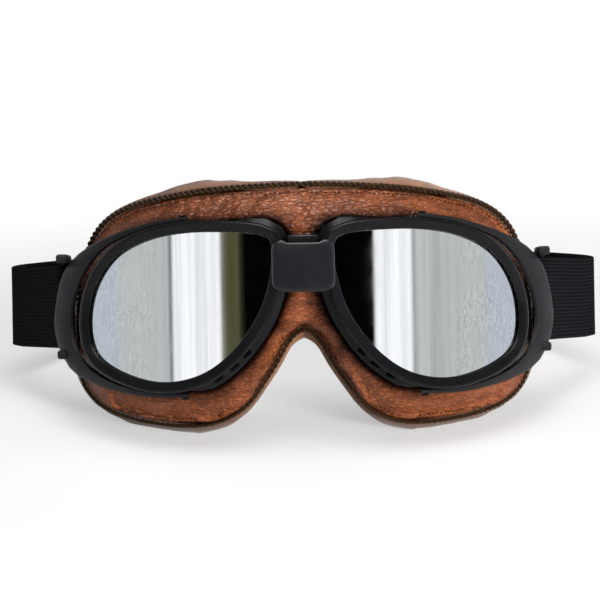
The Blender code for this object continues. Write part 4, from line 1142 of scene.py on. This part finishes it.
def make_straps():
    """Each half of the strap with its fold round the bar, and its end in the buckle."""
    inner = route_back()
    place, along, _ = buckle_place()
    flex = Vector(inner[np.argmax(far_along(inner) > FLEX_END)])
    for name, route, bodies, start, end, nodes in (
        ("left_strap_half", strap_route(), ("left_arm", "frame"), Vector(inner[0]), flex,
         ["left_side_strap", "left_strap_return"]),
        ("left_strap_end", end_route(), ("frame", "left_buckle"), flex, place - along * TAIL_FOLLOWS,
         ["left_strap_loop"]),
    ):
        left = band(name, route)
        for side, piece in (("left", left), ("right", twin(left, name.replace("left_", "right_", 1)))):
            piece.data.materials.clear()
            piece.data.materials.append(LOOKS["webbing"])
            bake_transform(piece)
            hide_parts(*[node.replace("left_", side + "_") for node in nodes])
    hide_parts("back_strap")
    sew_straps()


def cross_row(name, places, out):
    """Rows of stitches across the strap, at places on its middle line and turned to one way out."""
    rows = []
    reach = STRAP_WIDTH / 2 - ROW_MARGIN
    for number, place in enumerate(places):
        lift = Vector(place) + Vector(out) * ROW_THREAD * THREAD_LIFT
        ends = [STANCE @ (lift + Vector((0, 0, side))) for side in np.linspace(-reach, reach, ROW_STEPS)]
        row = stitch(name if number == 0 else "row", ROW_PITCH * ROW_STITCH, ROW_THREAD)
        rows.append(repeat_along(row, ends, ROW_PITCH, False))
    only(rows[0])
    for row in rows:
        row.select_set(True)
    bpy.ops.object.join()
    return rows[0]


def sew_straps():
    """The rows that hold each strap end on its buckle, and those that join the halves behind."""
    place, along, out = buckle_place()
    level = OUTER_LAYER + STRAP_THICKNESS * 1.5 + EDGE_CLEARANCE
    spots = [place - along * (LOOP_TAIL * share) + out * level for share in END_ROWS]
    ends = cross_row("left_end_stitches", spots, out)
    both_sides(ends, "left_buckle", "dark_thread", LOOKS["black thread"])
    last = Vector(route_back()[-1])
    spots = [last + Vector((side, STRAP_THICKNESS / 2, 0)) for side in BACK_ROWS]
    seam = cross_row("back_seam_stitches", spots, (0, 1, 0))
    dress(seam, "frame", "dark_thread", LOOKS["black thread"])


def make_buckles():
    """The slide buckles that set the strap's length."""
    buckle = hard_copy("left_slide_buckle", "left_buckle_frame", "buckle")
    both_sides(buckle, "left_buckle", "black_nylon", LOOKS["acetal"], stands_for=["left_slide_buckle"])


def reflected_turn(x):
    """Where on the round screen the camera sees the lens reflect, for a place x across the lens."""
    eye = np.array([VIEW_CENTRE[0], -VIEW_DISTANCE])
    at = np.array([x, wrap(x) + LENS_FRONT_DEPTH])
    way = (at - eye) / np.linalg.norm(at - eye)
    normal = np.array([x / WRAP_RADIUS, -(1 - (x / WRAP_RADIUS)**2) ** 0.5])
    way = way - 2 * way.dot(normal) * normal
    reach = -at.dot(way) + (at.dot(way)**2 + ROOM_RADIUS**2 - at.dot(at)) ** 0.5
    hit = at + way * reach
    return atan2(hit[0], -hit[1])


def make_screen():
    """The room that the mirrored lenses show: dark at the camera, windows and pale walls at the sides."""
    screen = new_shape(bpy.ops.mesh.primitive_cylinder_add, "mirror_room", vertices=96, radius=ROOM_RADIUS,
                       depth=ROOM_HEIGHT, end_fill_type="NOTHING")
    screen.data.transform(STANCE @ Matrix.Translation((0, 0, ROOM_RISE)))
    made = bpy.data.materials.new("room seen in the lenses")
    node = bare_nodes(made)
    place = node("Mapping", {"Vector": node("TexCoord", out="Object"), "Rotation": tuple(UPRIGHT.to_euler()),
                             "Location": tuple(UPRIGHT.translation)})
    across = node("SeparateXYZ", {0: place}, out="X")
    ahead = node("Math", {0: across.node.outputs["Y"], 1: -1.0}, operation="MULTIPLY")
    turn = node("Math", {0: across, 1: ahead}, operation="ARCTAN2")
    part = node("Math", {0: turn, 1: 2 * pi}, operation="DIVIDE")
    share = node("Math", {0: part, 1: 0.5}, operation="ADD")
    stops = [(0.0, PAPER)]
    for finish, *ends in ROOM_BANDS:
        for x in ends:
            stops.append((reflected_turn(x) / (2 * pi) + 0.5, srgb(ROOM[finish])))
    stops.append((1.0, PAPER))
    plain = colour = node("ValToRGB", {0: share}, stops)
    # Curtain-like folds over the middle of the room, and a frosted grain over its outer parts
    hanging = node("Mapping", {"Vector": place, "Scale": (1, 1, 0.06)})
    for size, dim in ((60, 0.78), (14, 0.86)):
        streaks = node("TexNoise", {"Vector": hanging, "Scale": per(size), "Detail": 4.0, "Roughness": 0.7})
        folds = node("ValToRGB", {0: streaks}, [(0.38, dim), (0.55, 1.0)])
        colour = node("Mix", {0: 1.0, 6: colour, 7: folds}, **TINT)
    lying = node("Mapping", {"Vector": place, "Scale": (1, 1, 5)})
    grit = node("TexNoise", {"Vector": lying, "Scale": per(8), "Detail": 1.0, "Roughness": 0.6})
    frost = node("ValToRGB", {0: grit}, [(0.38, 0.72), (0.62, 1.12)])
    off_middle = node("Math", {0: across}, operation="ABSOLUTE")
    outer = node("ValToRGB", {0: off_middle}, [(0.56, 0.0), (0.66, 1.0)])
    frosted = node("Mix", {0: 1.0, 6: plain, 7: frost}, **TINT)
    seen = node("Mix", {0: outer, 6: colour, 7: frosted}, **OVER)
    node("OutputMaterial", {0: node("Emission", {"Color": seen, "Strength": ROOM_GLOW})})
    screen.data.materials.append(made)
    screen.visible_camera = screen.visible_shadow = screen.visible_diffuse = False
    screen.visible_transmission = screen.visible_volume_scatter = False


def make_floor():
    """A white floor that keeps the goggles' soft shadow, and is plain white farther off."""
    floor = new_shape(bpy.ops.mesh.primitive_plane_add, "floor", size=FLOOR_SIZE)
    made = bpy.data.materials.new("white floor")
    node = bare_nodes(made)
    paint = node("BsdfDiffuse", {"Color": PAPER})
    glow = node("Emission", {"Color": WHITE, "Strength": 1.0})
    seen = node("LightPath", out="Is Camera Ray")
    flat = node("VectorMath", {0: node("TexCoord", out="Object"), 1: (1, 1, 0)}, operation="MULTIPLY")
    away = node("VectorMath", {0: flat}, operation="LENGTH", out="Value")
    share = node("ValToRGB", {0: away}, [(0.16, 0.42), (0.36, 1.0)])
    white = node("Math", {0: seen, 1: share}, operation="MULTIPLY")
    node("OutputMaterial", {0: node("MixShader", {0: white, 1: paint, 2: glow})})
    floor.data.materials.append(made)


def make_world():
    """Soft daylight for the object, and plain white where the camera looks past it."""
    world = bpy.data.worlds.new("soft white room")
    bpy.context.scene.world = world
    node = bare_nodes(world)
    camera_ray = node("LightPath", out="Is Camera Ray")
    through_ray = camera_ray.node.outputs["Is Transmission Ray"]
    seen = node("Math", {0: camera_ray, 1: through_ray}, operation="MAXIMUM")
    plain = node("Background", {"Color": WHITE, "Strength": 1.0})
    daylight = node("Background", {"Color": WHITE, "Strength": DAYLIGHT})
    node("OutputWorld", {0: node("MixShader", {0: seen, 1: daylight, 2: plain})})


def add_lamp(name, place, size, power, seen, sheds):
    """A soft square lamp that faces the goggles, and may be kept out of reflections or off matt surfaces."""
    lamp = bpy.data.lights.new(name, "AREA")
    lamp.size = size
    lamp.energy = power
    made = bpy.data.objects.new(name, lamp)
    bpy.context.scene.collection.objects.link(made)
    made.location = place
    made.rotation_euler = (LAMP_AIM - Vector(place)).to_track_quat("-Z", "Y").to_euler()
    made.visible_glossy, made.visible_diffuse = seen, sheds


def make_camera(sizes):
    """The camera looks straight at the goggles' own front, as the photograph does."""
    camera = bpy.data.cameras.new("camera")
    camera.lens = sizes.focal_length
    made = bpy.data.objects.new("camera", camera)
    bpy.context.scene.collection.objects.link(made)
    look = Matrix.Rotation(pi / 2, 4, "X") @ Matrix.Rotation(sizes.roll, 4, "Z")
    made.matrix_world = STANCE @ Matrix.Translation((VIEW_CENTRE[0], -VIEW_DISTANCE, VIEW_CENTRE[1])) @ look
    bpy.context.scene.camera = made


class GogglesSizes(bpy.types.PropertyGroup):
    """Sizes and colours of the goggles that a user may change"""
    leather_colour: FloatVectorProperty(
        name="Leather colour", description="Base colour of the padded facing", subtype="COLOR",
        default=srgb("874A2A")[:3], min=0, max=1)
    lining_colour: FloatVectorProperty(
        name="Lining colour", description="Base colour of the velour against the face", subtype="COLOR",
        default=srgb("7A5238")[:3], min=0, max=1)
    swell: FloatProperty(
        name="Slack", description="Spare width sewn into the leather, as a share of its width",
        default=0.035, min=0, max=0.2, subtype="FACTOR")
    pressure: FloatProperty(
        name="Pressure", description="How hard the foam pushes the leather out", default=3.0, min=0, max=20)
    most_swell: FloatProperty(
        name="Most swell", description="Furthest that the leather may stand off its pattern",
        default=0.0011, min=0, unit="LENGTH", precision=5)
    gather_depth: FloatProperty(
        name="Gather depth", description="Depth of the sewn gathers", default=0.0009, min=0,
        unit="LENGTH", precision=5)
    ply_pitch: FloatProperty(
        name="Edge pitch", description="Length of one full twist of the overlocked edge",
        default=0.0042, min=0.001, unit="LENGTH", precision=5)
    stitch_pitch: FloatProperty(
        name="Stitch pitch", description="Distance from one stitch to the next", default=0.0017,
        min=0.001, unit="LENGTH", precision=5)
    stitch_inset: FloatProperty(
        name="Stitch inset", description="Distance of the stitch row from the leather's edge",
        default=0.0021, min=0, unit="LENGTH", precision=5)
    stitch_thickness: FloatProperty(
        name="Thread thickness", description="Thickness of the seam's thread", default=0.0006,
        min=0.0002, unit="LENGTH", precision=5)
    focal_length: FloatProperty(
        name="Focal length", description="Camera focal length in millimetres", default=VIEW_FOCAL, min=10)
    roll: FloatProperty(
        name="Camera roll", description="Turn of the camera about its own line of sight",
        default=VIEW_ROLL, unit="ROTATION")


class GOGGLES_OT_finishes(bpy.types.Operator):
    """Makes the finishes that all pieces share"""
    bl_idname = "goggles.finishes"
    bl_label = "Finishes"

    def execute(self, context):
        make_looks(context.scene.goggles)
        return {"FINISHED"}


class GOGGLES_OT_frames(bpy.types.Operator):
    """Makes the lens rims, eyecups and pivot pins"""
    bl_idname = "goggles.frames"
    bl_label = "Rims and eyecups"

    def execute(self, context):
        make_rims()
        make_cups()
        return {"FINISHED"}


class GOGGLES_OT_lenses(bpy.types.Operator):
    """Makes the two mirrored lenses"""
    bl_idname = "goggles.lenses"
    bl_label = "Lenses"

    def execute(self, context):
        make_lenses()
        return {"FINISHED"}


class GOGGLES_OT_outriggers(bpy.types.Operator):
    """Makes the two swinging strap outriggers"""
    bl_idname = "goggles.outriggers"
    bl_label = "Outriggers"

    def execute(self, context):
        make_arms()
        return {"FINISHED"}


class GOGGLES_OT_bridge(bpy.types.Operator):
    """Makes the bridge badge and the link behind it"""
    bl_idname = "goggles.bridge"
    bl_label = "Bridge"

    def execute(self, context):
        make_bridge()
        return {"FINISHED"}


class GOGGLES_OT_pad(bpy.types.Operator):
    """Makes the leather facing, its lining and foam, the bound edge and the stitches"""
    bl_idname = "goggles.pad"
    bl_label = "Face pad"

    def execute(self, context):
        sizes = context.scene.goggles
        seam, surface = make_pad(sizes)
        make_edging(seam, sizes)
        make_stitches(seam, surface, sizes)
        return {"FINISHED"}


class GOGGLES_OT_straps(bpy.types.Operator):
    """Makes the elastic strap and its slide buckles"""
    bl_idname = "goggles.straps"
    bl_label = "Straps and buckles"

    def execute(self, context):
        make_straps()
        make_buckles()
        return {"FINISHED"}


class GOGGLES_OT_stage(bpy.types.Operator):
    """Makes the floor, the room, the lamps and the camera"""
    bl_idname = "goggles.stage"
    bl_label = "Stage"

    def execute(self, context):
        make_floor()
        make_world()
        make_screen()
        for name, settings in LAMPS.items():
            add_lamp(name, *settings)
        make_camera(context.scene.goggles)
        context.scene.view_settings.view_transform = "Standard"
        return {"FINISHED"}


class GOGGLES_PT_panel(bpy.types.Panel):
    """Lists the steps that build the goggles"""
    bl_idname = "GOGGLES_PT_panel"
    bl_label = "Motocross goggles"
    bl_space_type = "VIEW_3D"
    bl_region_type = "UI"
    bl_category = "Goggles"

    def draw(self, context):
        sizes = context.scene.goggles
        for name in sizes.bl_rna.properties.keys():
            if name not in ("rna_type", "name"):
                self.layout.prop(sizes, name)
        for step in STEPS:
            self.layout.operator(step.bl_idname)


STEPS = (
    GOGGLES_OT_finishes, GOGGLES_OT_frames, GOGGLES_OT_lenses, GOGGLES_OT_outriggers,
    GOGGLES_OT_bridge, GOGGLES_OT_pad, GOGGLES_OT_straps, GOGGLES_OT_stage,
)
CLASSES = (GogglesSizes, *STEPS, GOGGLES_PT_panel)


def register():
    """Adds the sizes, the steps and the panel to Blender."""
    for made in CLASSES:
        bpy.utils.register_class(made)
    bpy.types.Scene.goggles = PointerProperty(type=GogglesSizes)


def unregister():
    """Takes them out again."""
    del bpy.types.Scene.goggles
    for made in reversed(CLASSES):
        bpy.utils.unregister_class(made)


def main():
    """Builds everything."""
    register()
    bpy.ops.goggles.finishes()
    bpy.ops.goggles.frames()
    bpy.ops.goggles.lenses()
    bpy.ops.goggles.outriggers()
    bpy.ops.goggles.bridge()
    bpy.ops.goggles.pad()
    bpy.ops.goggles.straps()
    bpy.ops.goggles.stage()


if __name__ == "__main__":
    main()
